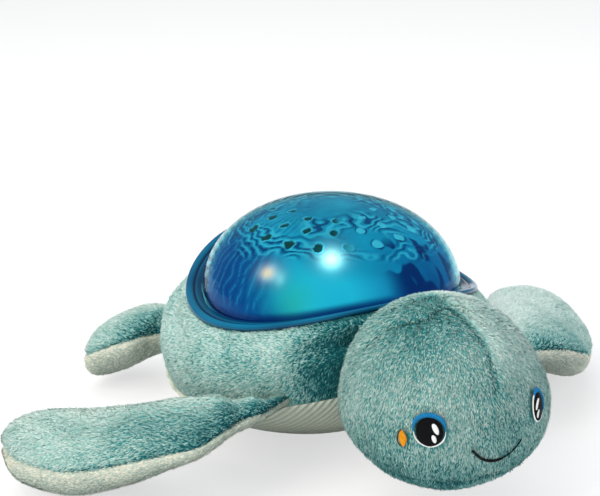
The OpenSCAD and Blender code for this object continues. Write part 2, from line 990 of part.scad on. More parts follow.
module button(k) {
    at_panel()
        translate([k * button_pitch, button_y, lip_top - lip_t]) {
            cylinder(r = button_r + button_lip, h = lip_t);
            cylinder(r = button_r, h = lip_t + panel_wall + button_up);
        }
}

module light_button() {
    color([0.9, 0.93, 0.92])
        button(-1);
}

module sound_button() {
    color([0.9, 0.93, 0.92])
        button(0);
}

module volume_button() {
    color([0.9, 0.93, 0.92])
        button(1);
}

module button_board() {
    color([0.1, 0.4, 0.2])
        at_panel()
            translate([0, button_y, key_board_top - key_board_t])
                box_on(key_board_w, key_board_d, key_board_t);
}

module tact_switches() {
    color([0.2, 0.2, 0.22])
        at_panel()
            for (k = [-1:1])
                translate([k * button_pitch, button_y, key_board_top])
                    box_on(switch_w, switch_w, switch_t);
}

// Stuffed side of the body, from under the rim down to the belly's seam
module body_plush() {
    rings = [for (i = [0:turn_steps - 1]) let (a = 360 * i / turn_steps) concat(
        [seam_in(a) + [0, 0, soft_gap]],
        [around(cavity_r, a, rim_low(cavity_r * sin(a)) - soft_gap)],
        [for (k = [0:side_steps]) side_point(a, arc_top + (arc_end - arc_top) * k / side_steps)]
    )];
    color([0.53, 0.69, 0.67])
        ring_loft(rings);
}

// Corduroy belly, a bowl from the seam down to the foot
module belly_panel() {
    rings = [for (i = [0:turn_steps - 1]) let (a = 360 * i / turn_steps) concat(
        [seam_in(a)],
        [for (k = [0:belly_steps]) belly_point(a, 90 * k / belly_steps)],
        [behind(foot_r + soft_gap, a, belly_low)],
        [behind(foot_r + soft_gap, a, floor_z - soft_gap)],
        [around(cavity_r, a, floor_z - soft_gap)]
    )];
    color([0.72, 0.74, 0.67])
        ring_loft(rings);
}

module head_plush() {
    ways = [for (j = [0:head_round - 1]) 360 * j / head_round];
    rings = [for (i = [0:head_rings]) [for (t = ways)
        let (f = head_back(t, -20, 8))
        head_point(f + (89 - f) * i / head_rings, t)]];
    color([0.53, 0.69, 0.67])
        loft(rings);
}

// Embroidered eye, a thin disc on the side of the face
module eye(side, at) {
    p = head_point(at[0], at[1]);
    out = [p[0] / pow(head_w, 2), (p[1] - head_y) / pow(head_l, 2), (p[2] - neck_z) / pow(head_h, 2)];
    yaw = atan2(out[1], out[0]);
    rise = atan2(out[2], norm([out[0], out[1]]));
    color([0.08, 0.1, 0.12])
        mirror([side < 0 ? 1 : 0, 0, 0])
            translate(p)
                rotate([0, 90 - rise, yaw])
                    translate([0, 0, part_gap])
                        cylinder(r = eye_d / 2, h = eye_t);
}

module right_eye() {
    eye(-1, right_eye_at);
}

module left_eye() {
    eye(1, left_eye_at);
}

// Paddle along +X from its root at the origin: it swells soon at its front edge and later at its back edge,
// has a broad rounded end and droops to its tip
module paddle(l, w, t, root_w, root_t, drop, roll, bend, flare) {
    tip = l * tip_share;
    function reach(s) = s < l - tip ? 1 : sqrt(max(0, 1 - pow((s - l + tip) / tip, 2)));
    function half_w(s, share) = (root_w + (w - root_w) * ease(s / (share * l))) / 2 * reach(s);
    function front_edge(s) = half_w(s, front_edge_share);
    function back_edge(s) = half_w(s, back_edge_share) + flare * (1 - ease(s / flare_l));
    function half_t(s) = s < 0 ? sqrt(max(0, pow(root_t / 2, 2) - s * s))
        : (root_t + (t - root_t) * ease(s / (0.55 * l))) / 2 * sqrt(reach(s));
    function aside(s) = -bend * pow(max(0, s) / l, 1.6);
    function bow(x) = sign(x) * pow(abs(x), 2 / flipper_power);
    ends = [-0.98 * root_t / 2, -0.6 * root_t / 2];
    stations = concat(ends, [for (i = [0:flipper_rings]) l * sin(89 * pow(i / flipper_rings, 0.9))]);
    rings = [for (s = stations)
        let (twist = roll * ease(s / (0.6 * l)), fall = drop * ease(s / (0.75 * l)))
        [for (j = [0:ring_points - 1])
            let (q = 360 * j / ring_points, z = half_t(s) * bow(sin(q)))
            let (y = (cos(q) > 0 ? front_edge(s) : back_edge(s)) * bow(cos(q)))
            [s, aside(s) + y * cos(twist) - z * sin(twist), y * sin(twist) + z * cos(twist) - fall]]];
    color([0.53, 0.69, 0.67])
        loft(rings);
}

module front_flipper(heading, bend, tip_z, roll, clear, flare) {
    root = front_point(heading, clear);
    translate(root)
        rotate([0, 0, heading])
            paddle(front_l, front_w, front_t, front_root_w, front_root_t,
                root[2] - tip_z, -roll, bend, flare);
}

module rear_flipper() {
    root = rear_point();
    translate(root)
        rotate([0, 0, rear_heading])
            paddle(rear_l, rear_w, rear_t, rear_root_w, rear_root_t,
                root[2] - rear_tip_z, -rear_roll, rear_bend, 0);
}

module front_right_flipper() {
    front_flipper(right_heading, right_bend, right_tip_z, right_roll, right_clear, right_flare);
}

module front_left_flipper() {
    mirror([1, 0, 0])
        front_flipper(left_heading, left_bend, left_tip_z, left_roll, left_clear, left_flare);
}

module rear_right_flipper() {
    rear_flipper();
}

module rear_left_flipper() {
    mirror([1, 0, 0])
        rear_flipper();
}

dome_shell();
fish_mask();
rim_bezel();
rim_screws();
tub();
battery_door();
battery_door_screw();
battery_1();
battery_2();
battery_3();
contact_plates();
contact_springs();
main_board();
sound_chip();
capacitors();
wire_sockets();
board_screws();
speaker_frame();
speaker_cone();
speaker_magnet();
chassis_plate();
chassis_screws();
motor();
motor_screws();
motor_shaft();
motor_pinion();
idler_pin();
idler_gear();
led_post();
drum_gear();
wave_drum();
drum_clip();
led_board();
white_leds();
amber_leds();
control_panel();
control_base();
light_button();
sound_button();
volume_button();
button_board();
tact_switches();
body_plush();
belly_panel();
head_plush();
right_eye();
left_eye();
front_right_flipper();
front_left_flipper();
rear_right_flipper();
rear_left_flipper();
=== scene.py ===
import json
import math

import bmesh
import bpy
import numpy as np
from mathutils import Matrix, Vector


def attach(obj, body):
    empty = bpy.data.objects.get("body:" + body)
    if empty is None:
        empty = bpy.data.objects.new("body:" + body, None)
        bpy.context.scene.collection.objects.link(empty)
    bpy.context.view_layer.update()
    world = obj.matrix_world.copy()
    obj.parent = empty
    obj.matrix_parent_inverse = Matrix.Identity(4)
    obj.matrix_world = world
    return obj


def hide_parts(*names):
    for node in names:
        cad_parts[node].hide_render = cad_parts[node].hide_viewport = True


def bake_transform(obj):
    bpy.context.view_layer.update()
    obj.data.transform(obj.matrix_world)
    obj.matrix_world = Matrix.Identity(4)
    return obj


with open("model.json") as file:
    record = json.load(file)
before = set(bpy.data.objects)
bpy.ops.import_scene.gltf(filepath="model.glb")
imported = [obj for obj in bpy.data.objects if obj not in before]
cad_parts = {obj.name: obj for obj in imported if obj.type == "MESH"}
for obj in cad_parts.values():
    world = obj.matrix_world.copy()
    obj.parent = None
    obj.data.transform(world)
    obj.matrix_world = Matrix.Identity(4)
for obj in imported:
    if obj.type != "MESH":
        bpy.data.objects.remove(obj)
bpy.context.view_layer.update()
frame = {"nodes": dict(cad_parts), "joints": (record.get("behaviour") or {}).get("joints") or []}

# Studio: a sweep of matt white board under soft lamps, with the camera where the photograph was taken.
# The board is lit almost to white and keeps the turtle's shadow.
# Lamps stand to the left, to the right and overhead, as round a small product table.
mm = 0.001
camera_place = Vector((-367.3, -697.5, 378.1)) * mm
camera_aim = Vector((0.4215, 0.8459, -0.3271))
camera_lens = 89.5
camera_sensor = 36
board_half = 4.0
board_patch = 4 / 3
board_stops = [(0.3, "eef0f1"), (0.7, "f4f5f6")]
board_glow = 0.62
lamp_aim = Vector((0, 0, 0.05))
# A lamp's row: name, place and size in metres, power in watts, colour.
lamp_table = [
    ("left_softbox", (-0.95, -0.35, 0.85), (0.7, 1.1), 13.0, "fffaf2"),
    ("right_softbox", (0.9, -0.9, 0.9), (0.9, 0.9), 5.5, "f3f8ff"),
    ("top_softbox", (0.0, 0.25, 1.3), (1.2, 1.2), 11.0, "ffffff"),
]
room_colour = "fbfcff"
room_light_level = 0.5
room_seen_level = 0.9
room_gloss_cut = 0.25


def linear(hex_colour):
    """An sRGB hex value as linear red, green, blue and alpha."""
    parts = [int(hex_colour[k:k + 2], 16) / 255 for k in (0, 2, 4)]
    return [c / 12.92 if c <= 0.04045 else ((c + 0.055) / 1.055) ** 2.4 for c in parts] + [1.0]


def add(tree, kind, values=None, stops=(), **settings):
    """One shader node: settings are its properties, values its sockets, each a value or another socket.

    Where the node is a colour ramp, stops are its places and hex colours.
    """
    node = tree.nodes.new("ShaderNode" + kind)
    for key, value in settings.items():
        setattr(node, key, value)
    for key, value in (values or {}).items():
        if isinstance(value, bpy.types.NodeSocket):
            tree.links.new(value, node.inputs[key])
        else:
            node.inputs[key].default_value = value
    for place, colour in stops[1:-1]:
        node.color_ramp.elements.new(place)
    for index, (place, colour) in enumerate(stops):
        node.color_ramp.elements[index].position = place
        node.color_ramp.elements[index].color = linear(colour)
    return node


def new_material(name):
    """An empty node material and its tree."""
    material = bpy.data.materials.new(name)
    material.use_nodes = True
    material.node_tree.nodes.clear()
    return material, material.node_tree


def painted_board():
    """Matt white paint: diffuse, with a little glow for the camera so that it reads as a white sweep."""
    material, tree = new_material("matt_white_board")
    mottle = add(tree, "TexNoise", {"Scale": 2 * board_half / board_patch, "Detail": 2.0})
    tone = add(tree, "ValToRGB", {"Fac": mottle.outputs["Fac"]}, board_stops)
    paint = add(tree, "BsdfDiffuse", {"Color": tone.outputs["Color"], "Roughness": 0.8})
    glow = add(tree, "Emission", {"Color": linear("ffffff"), "Strength": 1.0})
    path = add(tree, "LightPath")
    seen = add(tree, "Math", {0: path.outputs["Is Camera Ray"], 1: board_glow}, operation="MULTIPLY")
    mixed = add(tree, "MixShader", {"Fac": seen.outputs[0], 1: paint.outputs[0], 2: glow.outputs[0]})
    add(tree, "OutputMaterial", {"Surface": mixed.outputs[0]})
    return material


board_mesh = bpy.data.meshes.new("board")
board_edges = [(-board_half, -board_half, 0), (board_half, -board_half, 0),
               (board_half, board_half, 0), (-board_half, board_half, 0)]
board_mesh.from_pydata(board_edges, [], [(0, 1, 2, 3)])
board_mesh.materials.append(painted_board())
board = bpy.data.objects.new("board", board_mesh)
bpy.context.scene.collection.objects.link(board)

for lamp_name, lamp_place, lamp_size, lamp_power, lamp_colour in lamp_table:
    lamp_data = bpy.data.lights.new(lamp_name, "AREA")
    lamp_data.shape = "RECTANGLE"
    lamp_data.size, lamp_data.size_y = lamp_size
    lamp_data.energy = lamp_power
    lamp_data.color = linear(lamp_colour)[:3]
    lamp = bpy.data.objects.new(lamp_name, lamp_data)
    lamp.location = lamp_place
    lamp.rotation_euler = (lamp_aim - lamp.location).to_track_quat("-Z", "Y").to_euler()
    lamp.visible_glossy = False
    lamp.visible_transmission = False
    bpy.context.scene.collection.objects.link(lamp)

room = bpy.data.worlds.new("white_room")
room.use_nodes = True
room_tree = room.node_tree
room_tree.nodes.clear()
room_path = add(room_tree, "LightPath")
room_seen = add(room_tree, "Math", {0: room_path.outputs["Is Camera Ray"],
                                    1: room_path.outputs["Is Transmission Ray"]}, operation="MAXIMUM")
room_plain = add(room_tree, "MapRange", {"Value": room_seen.outputs[0], "To Min": room_light_level,
                                         "To Max": room_seen_level})
room_level = add(room_tree, "Math", {0: room_path.outputs["Is Glossy Ray"], 1: -room_gloss_cut,
                                     2: room_plain.outputs[0]}, operation="MULTIPLY_ADD")
room_light = add(room_tree, "Background", {"Color": linear(room_colour), "Strength": room_level.outputs[0]})
add(room_tree, "OutputWorld", {"Surface": room_light.outputs[0]})
bpy.context.scene.world = room
bpy.context.scene.view_settings.view_transform = "Standard"

camera_data = bpy.data.cameras.new("camera")
camera_data.lens = camera_lens
camera_data.sensor_width = camera_sensor
camera = bpy.data.objects.new("camera", camera_data)
camera.location = camera_place
camera.rotation_mode = "QUATERNION"
camera.rotation_quaternion = camera_aim.to_track_quat("-Z", "Y")
bpy.context.scene.collection.objects.link(camera)
bpy.context.scene.camera = camera

# Plush body: a stuffed ring of short-pile polyester plush from under the rim down to the belly's seam.
# It is cut from panels with the nap brushed towards the tail, turned right side out and filled with fibre.
# The upper edge is clamped under the blue rim and the lower edge is sewn to the corduroy.
rim_r = 82.0
rim_z = 77.5
rim_rise = 22.0
saddle_r = (rim_r ** 2 + rim_rise ** 2) / (2 * rim_rise)
side_tuck = 1.0
side_swell = 17.0
front_swell = 8.0
rear_swell = 15.0
seam_drop = 40.0
arc_top = 30.0
arc_end = 120.0
soft_gap = 0.5
cavity_r = 68.5
tub_floor = 49.0
cavity_foot = tub_floor + 3
body_columns = 360
body_rows = 44
body_middle = np.array([0, 0, 60.0])
body_lumps = [(1.3, 30, 11), (0.6, 13, 12)]
body_stops = [(0.0, "0d474e"), (0.28, "327e80"), (0.5, "7eafa9"), (0.74, "b0ccc5"), (1.0, "dceae5")]
body_level = 0.65
near_head_painted_shade = 0.6
head_arc = 44
ridge_painted_light = 0.3
rim_fade_arc, seam_fade_arc = 14, 12
pinch_deep = 0.7
pinch_arc = 6
slack_deep = 4.0
slack_arc, slack_width = 52, 15
ridge_height = 2.6
ridge_arc, ridge_width = 42, 9
trough_arc, trough_width = 62, 10
trough_share = 0.8
pile_length = 2.3
pile_spacing = 1.55
pile_bed = 1.5
pile_lean, lean_stray = 62, 6
brush_stray = 9
brush_swirls = [(9, 9), (12, 40)]
tuft_strands = 6
tuft_spread = 0.8
tuft_gather = 0.38
tuft_lengths, fibre_lengths = (0.75, 1.15), (0.8, 1.1)
tuft_tint, fibre_tint = 0.05, 0.11
tuft_tilt, fibre_tilt, forward_tilt = 0.16, 0.1, 0.18
fibre_half = 0.23
fibre_widths = (0.8, 1.25)
fibre_slope, fibre_waver, fibre_twist = 0.12, 0.16, 0.5
bend_along, bend_slope, bend_width = 0.5, 0.8, 0.8
# Painted shade darkens fibre roots and the backing cloth between tufts; painted light brightens fibre tips.
root_sink = 0.25
root_painted_shade = 0.34
tip_painted_light = 0.14
backing_painted_shade = 0.38
hidden_shade = 0.25
golden_section = 0.6180339887
nap_tailward = (0.0, 1.0, -0.55)
map_dot = 0.002
plush_sheen = 0.08
brushed_patch = 25 * mm
fibre_fleck = 0.8 * mm


def rim_low(y):
    """Height of the rim's underside, which climbs like a saddle to the front and the rear."""
    return rim_z + saddle_r - np.sqrt(saddle_r ** 2 - y ** 2)


def hump(distance, width):
    """Bell curve: 1 where distance is 0, falling away over width."""
    return np.exp(-(distance / width) ** 2)


def ramped(value, start, run):
    """0 up to start, then rising straight to 1 over run."""
    return np.clip((value - start) / run, 0, 1)


def wander(points, size, seed, waves=14):
    """Smooth random field between about -1 and 1 whose lumps are of the size given, in millimetres."""
    draw = np.random.default_rng(seed)
    heading = draw.normal(size=(waves, 3))
    heading /= np.linalg.norm(heading, axis=1, keepdims=True)
    pitch = 2 * math.pi / (size * draw.uniform(1.4, 3.0, waves))
    phase = draw.uniform(0, 2 * math.pi, waves)
    return np.sin(points @ (heading * pitch[:, None]).T + phase).mean(-1) * 2.2


def stuffing(points, lumps):
    """Height of the filling's lumps under the cloth, from the (height, size, seed) of each layer."""
    return sum(height * wander(points, size, seed) for height, size, seed in lumps)


def unit(vectors):
    """Vectors of length one."""
    return vectors / np.maximum(np.linalg.norm(vectors, axis=-1, keepdims=True), 1e-9)


def ring_point(r, turn, z, back=0.0):
    """Points at radius r and height z, at angles round an upright axis that stands back from the dome's."""
    return np.stack(np.broadcast_arrays(r * np.cos(turn), back + r * np.sin(turn), z), -1)


def normals_of(rows, middle):
    """Normals of rings of points, each ring closed on itself, pointing away from middle."""
    around = np.roll(rows, -1, 1) - np.roll(rows, 1, 1)
    normals = unit(np.cross(around, np.gradient(rows, axis=0)))
    return normals * np.sign(np.sum(normals * (rows - middle)))


def skin_faces(rows):
    """Quads and their map corners for rings of points, each ring closed on itself."""
    n, m = rows.shape[:2]
    i, j = np.meshgrid(np.arange(n - 1), np.arange(m), indexing="ij")
    k = (j + 1) % m
    quads = np.stack([i * m + j, i * m + k, (i + 1) * m + k, (i + 1) * m + j], -1).reshape(-1, 4)
    left, right, low, high = j / m, (j + 1) / m, i / (n - 1), (i + 1) / (n - 1)
    edges = [(left, low), (right, low), (right, high), (left, high)]
    corners = np.stack([np.stack(edge, -1) for edge in edges], -2)
    return quads, corners.reshape(-1, 2)


def tube_faces(rows):
    """Face arrays and map corners for rings of points whose last ring is joined to the first again."""
    n, m = rows.shape[:2]
    quads, corners = skin_faces(rows)
    ring = np.arange(m)
    after = np.roll(ring, -1)
    last = (n - 1) * m
    closing = np.stack([ring + last, after + last, after, ring], -1)
    return [quads, closing], np.concatenate([corners, np.zeros((closing.size, 2))])


def set_field(mesh, name, values):
    """Stores one number per point of a mesh under a name that materials can read."""
    mesh.attributes.new(name, "FLOAT", "POINT").data.foreach_set("value", values.astype(np.float32).ravel())


def build(name, points, faces, corners=None, shade=None, closed=True):
    """A mesh object from points in millimetres, face arrays, map corners and one shade number per point."""
    points = points.reshape(-1, 3)
    mesh = bpy.data.meshes.new(name)
    loops = np.concatenate([f.ravel() for f in faces]).astype(np.int32)
    sizes = np.concatenate([np.full(len(f), f.shape[1]) for f in faces])
    mesh.vertices.add(len(points))
    mesh.vertices.foreach_set("co", (points * mm).astype(np.float32).ravel())
    mesh.loops.add(len(loops))
    mesh.loops.foreach_set("vertex_index", loops)
    mesh.polygons.add(len(sizes))
    mesh.polygons.foreach_set("loop_start", (np.cumsum(sizes) - sizes).astype(np.int32))
    if corners is not None:
        mesh.uv_layers.new(name="OFBake").data.foreach_set("uv", corners.astype(np.float32).ravel())
    if shade is not None:
        set_field(mesh, "shade", shade)
    mesh.update(calc_edges=True)
    mesh.validate()
    if closed:
        work = bmesh.new()
        work.from_mesh(mesh)
        bmesh.ops.recalc_face_normals(work, faces=work.faces)
        work.to_mesh(mesh)
        work.free()
    mesh.shade_smooth()
    made = bpy.data.objects.new(name, mesh)
    bpy.context.scene.collection.objects.link(made)
    return made


def tint_and_painted_shade_strength(tone):
    """How strongly the pile's random tint and its painted light and shade show: little where pale, more where
    dark.
    """
    return np.clip(1.5 - 1.1 * tone, 0.5, 1.1)


def skin_shade(tone):
    """Shade of the backing cloth, darkened with painted shade so that it shows as the dark between the tufts.
    """
    return tone - backing_painted_shade * tint_and_painted_shade_strength(tone)


def pile(name, rows, normals, nap, keep, tone, seed, length=pile_length):
    """Tufts of tapered fibres over the quads in keep, leaning along nap; tone is each ring point's shade."""
    draw = np.random.default_rng(seed)
    n, m = rows.shape[:2]
    right = np.roll(rows, -1, 1)
    area = np.linalg.norm(np.cross(right[:-1] - rows[:-1], rows[1:] - rows[:-1]), axis=-1) * keep
    row_area = area.sum(1)
    tufts = int(area.sum() / pile_spacing ** 2)
    # Tufts stand in an even lattice: their order fixes the row and the golden section the place along it.
    order = (np.arange(tufts) + 0.5) / tufts * area.sum()
    row_end, quad_end = np.cumsum(row_area), np.cumsum(area.ravel())
    i = np.searchsorted(row_end, order, side="right")
    row_start = row_end[i] - row_area[i]
    target = row_start + (np.arange(tufts) * golden_section % 1) * row_area[i]
    pick = np.minimum(np.searchsorted(quad_end, target, side="right"), i * m + m - 1)
    j = pick - i * m
    k = (j + 1) % m
    a = ((order - row_start) / row_area[i])[:, None]
    b = draw.random((tufts, 1))

    def between(field):
        near = field[i, j] * (1 - b) + field[i, k] * b
        far = field[i + 1, j] * (1 - b) + field[i + 1, k] * b
        return near * (1 - a) + far * a

    middle, out = between(rows), unit(between(normals))
    lie = between(nap)
    lie = unit(lie - out * np.sum(lie * out, -1, keepdims=True))
    side = np.cross(out, lie)
    swirl = draw.normal(0, brush_stray, (tufts, 1))
    for offset, (degrees, size) in enumerate(brush_swirls, 1):
        swirl = swirl + degrees * wander(middle, size, seed + offset)[:, None]
    swirl = np.radians(swirl)
    lie, side = lie * np.cos(swirl) + side * np.sin(swirl), side * np.cos(swirl) - lie * np.sin(swirl)
    lean = np.radians(draw.normal(pile_lean, lean_stray, (tufts, 1)))
    # From here each array has one row per tuft and one column per fibre of it.
    shape = (tufts, tuft_strands, 1)
    ring = pile_spacing * tuft_spread * np.sqrt(draw.random(shape))
    spot = draw.uniform(0, 2 * math.pi, shape)
    out, lie, side, middle = out[:, None], lie[:, None], side[:, None], middle[:, None]
    root = middle + ring * (np.cos(spot) * lie + np.sin(spot) * side) - out * root_sink
    reach = length * draw.uniform(*tuft_lengths, (tufts, 1, 1)) * draw.uniform(*fibre_lengths, shape)
    slope = lean[:, None] + draw.normal(0, fibre_slope, shape)
    waver = draw.normal(0, fibre_waver, shape)
    ahead = lie * np.cos(waver) + side * np.sin(waver)
    bend_lean = slope * bend_slope
    bend = root + reach * bend_along * (out * np.cos(bend_lean) + ahead * np.sin(bend_lean))
    tip = root + reach * (out * np.cos(slope) + ahead * np.sin(slope))
    gathered = middle + reach * (out * np.cos(slope) + lie * np.sin(slope))
    tip = tip * (1 - tuft_gather) + gathered * tuft_gather
    twist = draw.normal(0, fibre_twist, shape)
    flat = side * np.cos(twist) + lie * np.sin(twist)
    broad = flat * (fibre_half * draw.uniform(*fibre_widths, shape))
    slim = broad * bend_width
    points = np.stack([root - broad, root + broad, bend + slim, bend - slim, tip], 2)
    first = np.arange(tufts * tuft_strands)[:, None] * 5
    quads, tips = first + np.array([[1, 0, 3, 2]]), first + np.array([[2, 3, 4]])
    level = between(tone[..., None])[:, None]
    stir = tint_and_painted_shade_strength(level)
    level = level + stir * (draw.normal(0, tuft_tint, (tufts, 1, 1)) + draw.normal(0, fibre_tint, shape))
    # Painted shade at each fibre's root and painted light at its tip.
    deep, bright = level - root_painted_shade * stir, level + tip_painted_light * stir
    shade = np.stack([deep, deep, level, level, bright], 2)
    place = np.concatenate([(j[:, None] + b) / m, (i[:, None] + a) / (n - 1)], 1)
    spread = np.array([[-1, -1], [1, -1], [1, 0], [-1, 0], [0, 1]]) * map_dot
    place = np.repeat(place, tuft_strands, 0)[:, None] + spread
    corners = np.concatenate([place[:, [1, 0, 3, 2]].reshape(-1, 2), place[:, [2, 3, 4]].reshape(-1, 2)])
    made = build(name, points, [quads, tips], np.clip(corners, 0.001, 0.999), shade, closed=False)
    tilt = draw.normal(0, tuft_tilt, (tufts, 1, 3)) + draw.normal(0, fibre_tilt, (tufts, tuft_strands, 3))
    face = unit(out + tilt + lie * forward_tilt)
    made.data.normals_split_custom_set_from_vertices(np.repeat(face.reshape(-1, 3), 5, 0).tolist())
    return made


def plush_fabric(name, stops):
    """Polyester plush: dyed fibres with painted shade at the root and painted light at the tip; soft sheen,
    no gloss.
    """
    material, tree = new_material(name)
    shade = add(tree, "Attribute", attribute_name="shade")
    place = add(tree, "TexCoord").outputs["Object"]
    # Brushed patches and fibre flecks are drawn over the shade of each fibre.
    patch = add(tree, "TexNoise", {"Vector": place, "Scale": 1 / brushed_patch, "Detail": 2.0})
    fleck = add(tree, "TexNoise", {"Vector": place, "Scale": 1 / fibre_fleck, "Detail": 1.0})
    total = shade.outputs["Fac"]
    for noise, strength in [(patch, 0.09), (fleck, 0.06)]:
        spread = add(tree, "MapRange", {"Value": noise.outputs["Fac"], "From Min": 0.3, "From Max": 0.7,
                                        "To Min": -strength, "To Max": strength})
        total = add(tree, "Math", {0: total, 1: spread.outputs[0]}, operation="ADD").outputs[0]
    colour = add(tree, "ValToRGB", {"Fac": total}, stops)
    bump = add(tree, "Bump", {"Height": fleck.outputs["Fac"], "Strength": 0.25, "Distance": fibre_fleck / 2})
    surface = add(tree, "BsdfPrincipled", {
        "Base Color": colour.outputs["Color"], "Roughness": 0.9, "Specular IOR Level": 0.05,
        "Sheen Weight": plush_sheen, "Sheen Roughness": 0.5, "Sheen Tint": linear("dff2ea"),
        "Normal": bump.outputs[0]})
    add(tree, "OutputMaterial", {"Surface": surface.outputs[0]})
    return material


def swell(turn):
    """How far the stuffed side stands out past the rim, by the angle round the body."""
    ends = np.where(np.sin(turn) < 0, front_swell, rear_swell)
    return side_swell * np.cos(turn) ** 2 + ends * np.sin(turn) ** 2


def side_point(turn, arc):
    """Point of the body's side: turn is the angle round the body, arc runs from the rim to the seam."""
    top_sine, top_cosine = math.sin(math.radians(arc_top)), math.cos(math.radians(arc_top))
    r = rim_r - side_tuck + swell(turn) * (np.sin(arc) - top_sine) / (1 - top_sine)
    top = rim_low((rim_r - side_tuck) * np.sin(turn)) - soft_gap
    fall = (top_cosine - np.cos(arc)) / (top_cosine - math.cos(math.radians(arc_end)))
    return ring_point(r, turn, top - seam_drop * fall)


teal_plush = plush_fabric("teal_polyester_plush", body_stops)
body_turn = np.linspace(0, 2 * math.pi, body_columns, endpoint=False)
turn_grid, arc_grid = np.meshgrid(body_turn, np.radians(np.linspace(arc_top, arc_end, body_rows)))
arc_degrees = np.degrees(arc_grid)
body_outer = side_point(turn_grid, arc_grid)
body_normal = normals_of(body_outer, body_middle)
# Lumps and the bed of the pile fade out at both edges, which stay on the rim and on the belly's seam.
edge_share = ramped(arc_degrees, arc_top, rim_fade_arc) * ramped(-arc_degrees, -arc_end, seam_fade_arc)
body_lump = stuffing(body_outer, body_lumps) * edge_share
seam_pinch = pinch_deep * hump(arc_degrees - arc_end, pinch_arc)
rear_slack = slack_deep * ramped(np.sin(turn_grid), -0.15, 0.5) * hump(arc_degrees - slack_arc, slack_width)
near_head = ramped(-np.sin(turn_grid), math.cos(math.radians(head_arc)), 0.2)
ridge = near_head * (hump(arc_degrees - ridge_arc, ridge_width)
                     - trough_share * hump(arc_degrees - trough_arc, trough_width))
body_raise = body_lump - rear_slack - seam_pinch - pile_bed * edge_share + ridge_height * ridge
body_outer = body_outer + body_normal * body_raise[..., None]
body_normal = normals_of(body_outer, body_middle)
inner_low = ring_point(cavity_r, body_turn, cavity_foot)
inner_top = ring_point(cavity_r, body_turn, rim_low(cavity_r * np.sin(body_turn)) - soft_gap)
body_rings = np.concatenate([inner_low[None], inner_top[None], body_outer])
# Painted shade darkens the plush near the head, and painted light brightens the top of the fold ridge there.
body_tone = body_level - near_head_painted_shade * near_head + ridge_painted_light * np.maximum(ridge, 0)
body_shade = np.concatenate([np.full((2, body_columns), hidden_shade), skin_shade(body_tone)])
body_skin = build("plush_body", body_rings, *tube_faces(body_rings), body_shade)
body_skin.data.materials.append(teal_plush)
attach(body_skin, "housing")
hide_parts("body_plush")
tailward = np.broadcast_to(nap_tailward, body_outer.shape)
body_pile = pile("plush_body_pile", body_outer, body_normal, tailward, np.ones((body_rows - 1, body_columns)),
                 body_tone, seed=21)
body_pile.data.materials.append(teal_plush)
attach(body_pile, "housing")

# Corduroy belly: a bowl of ribbed cotton cord sewn to the plush side, drawn in round the hard foot.
# The ribs run from head to tail, 5.1 mm apart, with a narrow groove between them.
# A soft roll follows the seam, weaker towards the head.
foot_r = 37.0
foot_back = 26.0
belly_ring = 4.0
belly_power = 1.25
belly_low = 0.5
belly_floor = 0.2
belly_middle = np.array([0, 10, 45.0])
belly_columns = 720
belly_rows = 90
belly_stops = [(0.0, "6f7a70"), (0.35, "98a396"), (0.7, "b9c0b0"), (1.0, "d3d5c6")]
rib_pitch = 5.08
rib_height = 1.1
rib_round = 0.7
rib_sink = 0.8
roll_height = 2.0
roll_dip, roll_width = 0.11, 0.08
weave_thread = 0.9 * mm
groove_painted_shade, rib_painted_light, roll_painted_light = 0.15, 0.6, 0.12
inside_shade, hub_shade = 0.3, 0.4


def belly_point(turn, dip):
    """Point of the belly: dip runs from the seam at 0 to the foot's ring at a quarter turn."""
    seam = side_point(turn, np.full_like(turn, math.radians(arc_end)))
    low = ring_point(foot_r + belly_ring, turn, belly_low, foot_back)
    out = np.cos(dip) ** (2 / belly_power)
    down = np.sin(dip) ** (2 / belly_power)
    return seam + (low - seam) * np.stack([1 - out, 1 - out, down], -1)


def cord_fabric():
    """Cotton corduroy: matt cut ribs, with painted light on the crown and painted shade in the groove, and a
    fine weave.
    """
    material, tree = new_material("cotton_corduroy")
    shade = add(tree, "Attribute", attribute_name="shade")
    place = add(tree, "TexCoord").outputs["Object"]
    # The weave's threads are 0.3 mm; they are drawn at 0.9 mm so that they show.
    weave = add(tree, "TexNoise", {"Vector": place, "Scale": 1 / weave_thread, "Detail": 2.0})
    lift = add(tree, "MapRange", {"Value": weave.outputs["Fac"], "From Min": 0.3, "From Max": 0.7,
                                  "To Min": -0.12, "To Max": 0.12})
    total = add(tree, "Math", {0: shade.outputs["Fac"], 1: lift.outputs[0]}, operation="ADD")
    colour = add(tree, "ValToRGB", {"Fac": total.outputs[0]}, belly_stops)
    bump = add(tree, "Bump", {"Height": weave.outputs["Fac"], "Strength": 0.35, "Distance": weave_thread / 3})
    surface = add(tree, "BsdfPrincipled", {
        "Base Color": colour.outputs["Color"], "Roughness": 0.92, "Specular IOR Level": 0.15,
        "Sheen Weight": 0.2, "Normal": bump.outputs[0]})
    add(tree, "OutputMaterial", {"Surface": surface.outputs[0]})
    return material


hub_turn = np.linspace(0, 2 * math.pi, belly_columns, endpoint=False)
belly_turn, belly_dip = np.meshgrid(hub_turn, np.linspace(0, math.pi / 2, belly_rows))
belly_outer = belly_point(belly_turn, belly_dip)
belly_normal = normals_of(belly_outer, belly_middle)
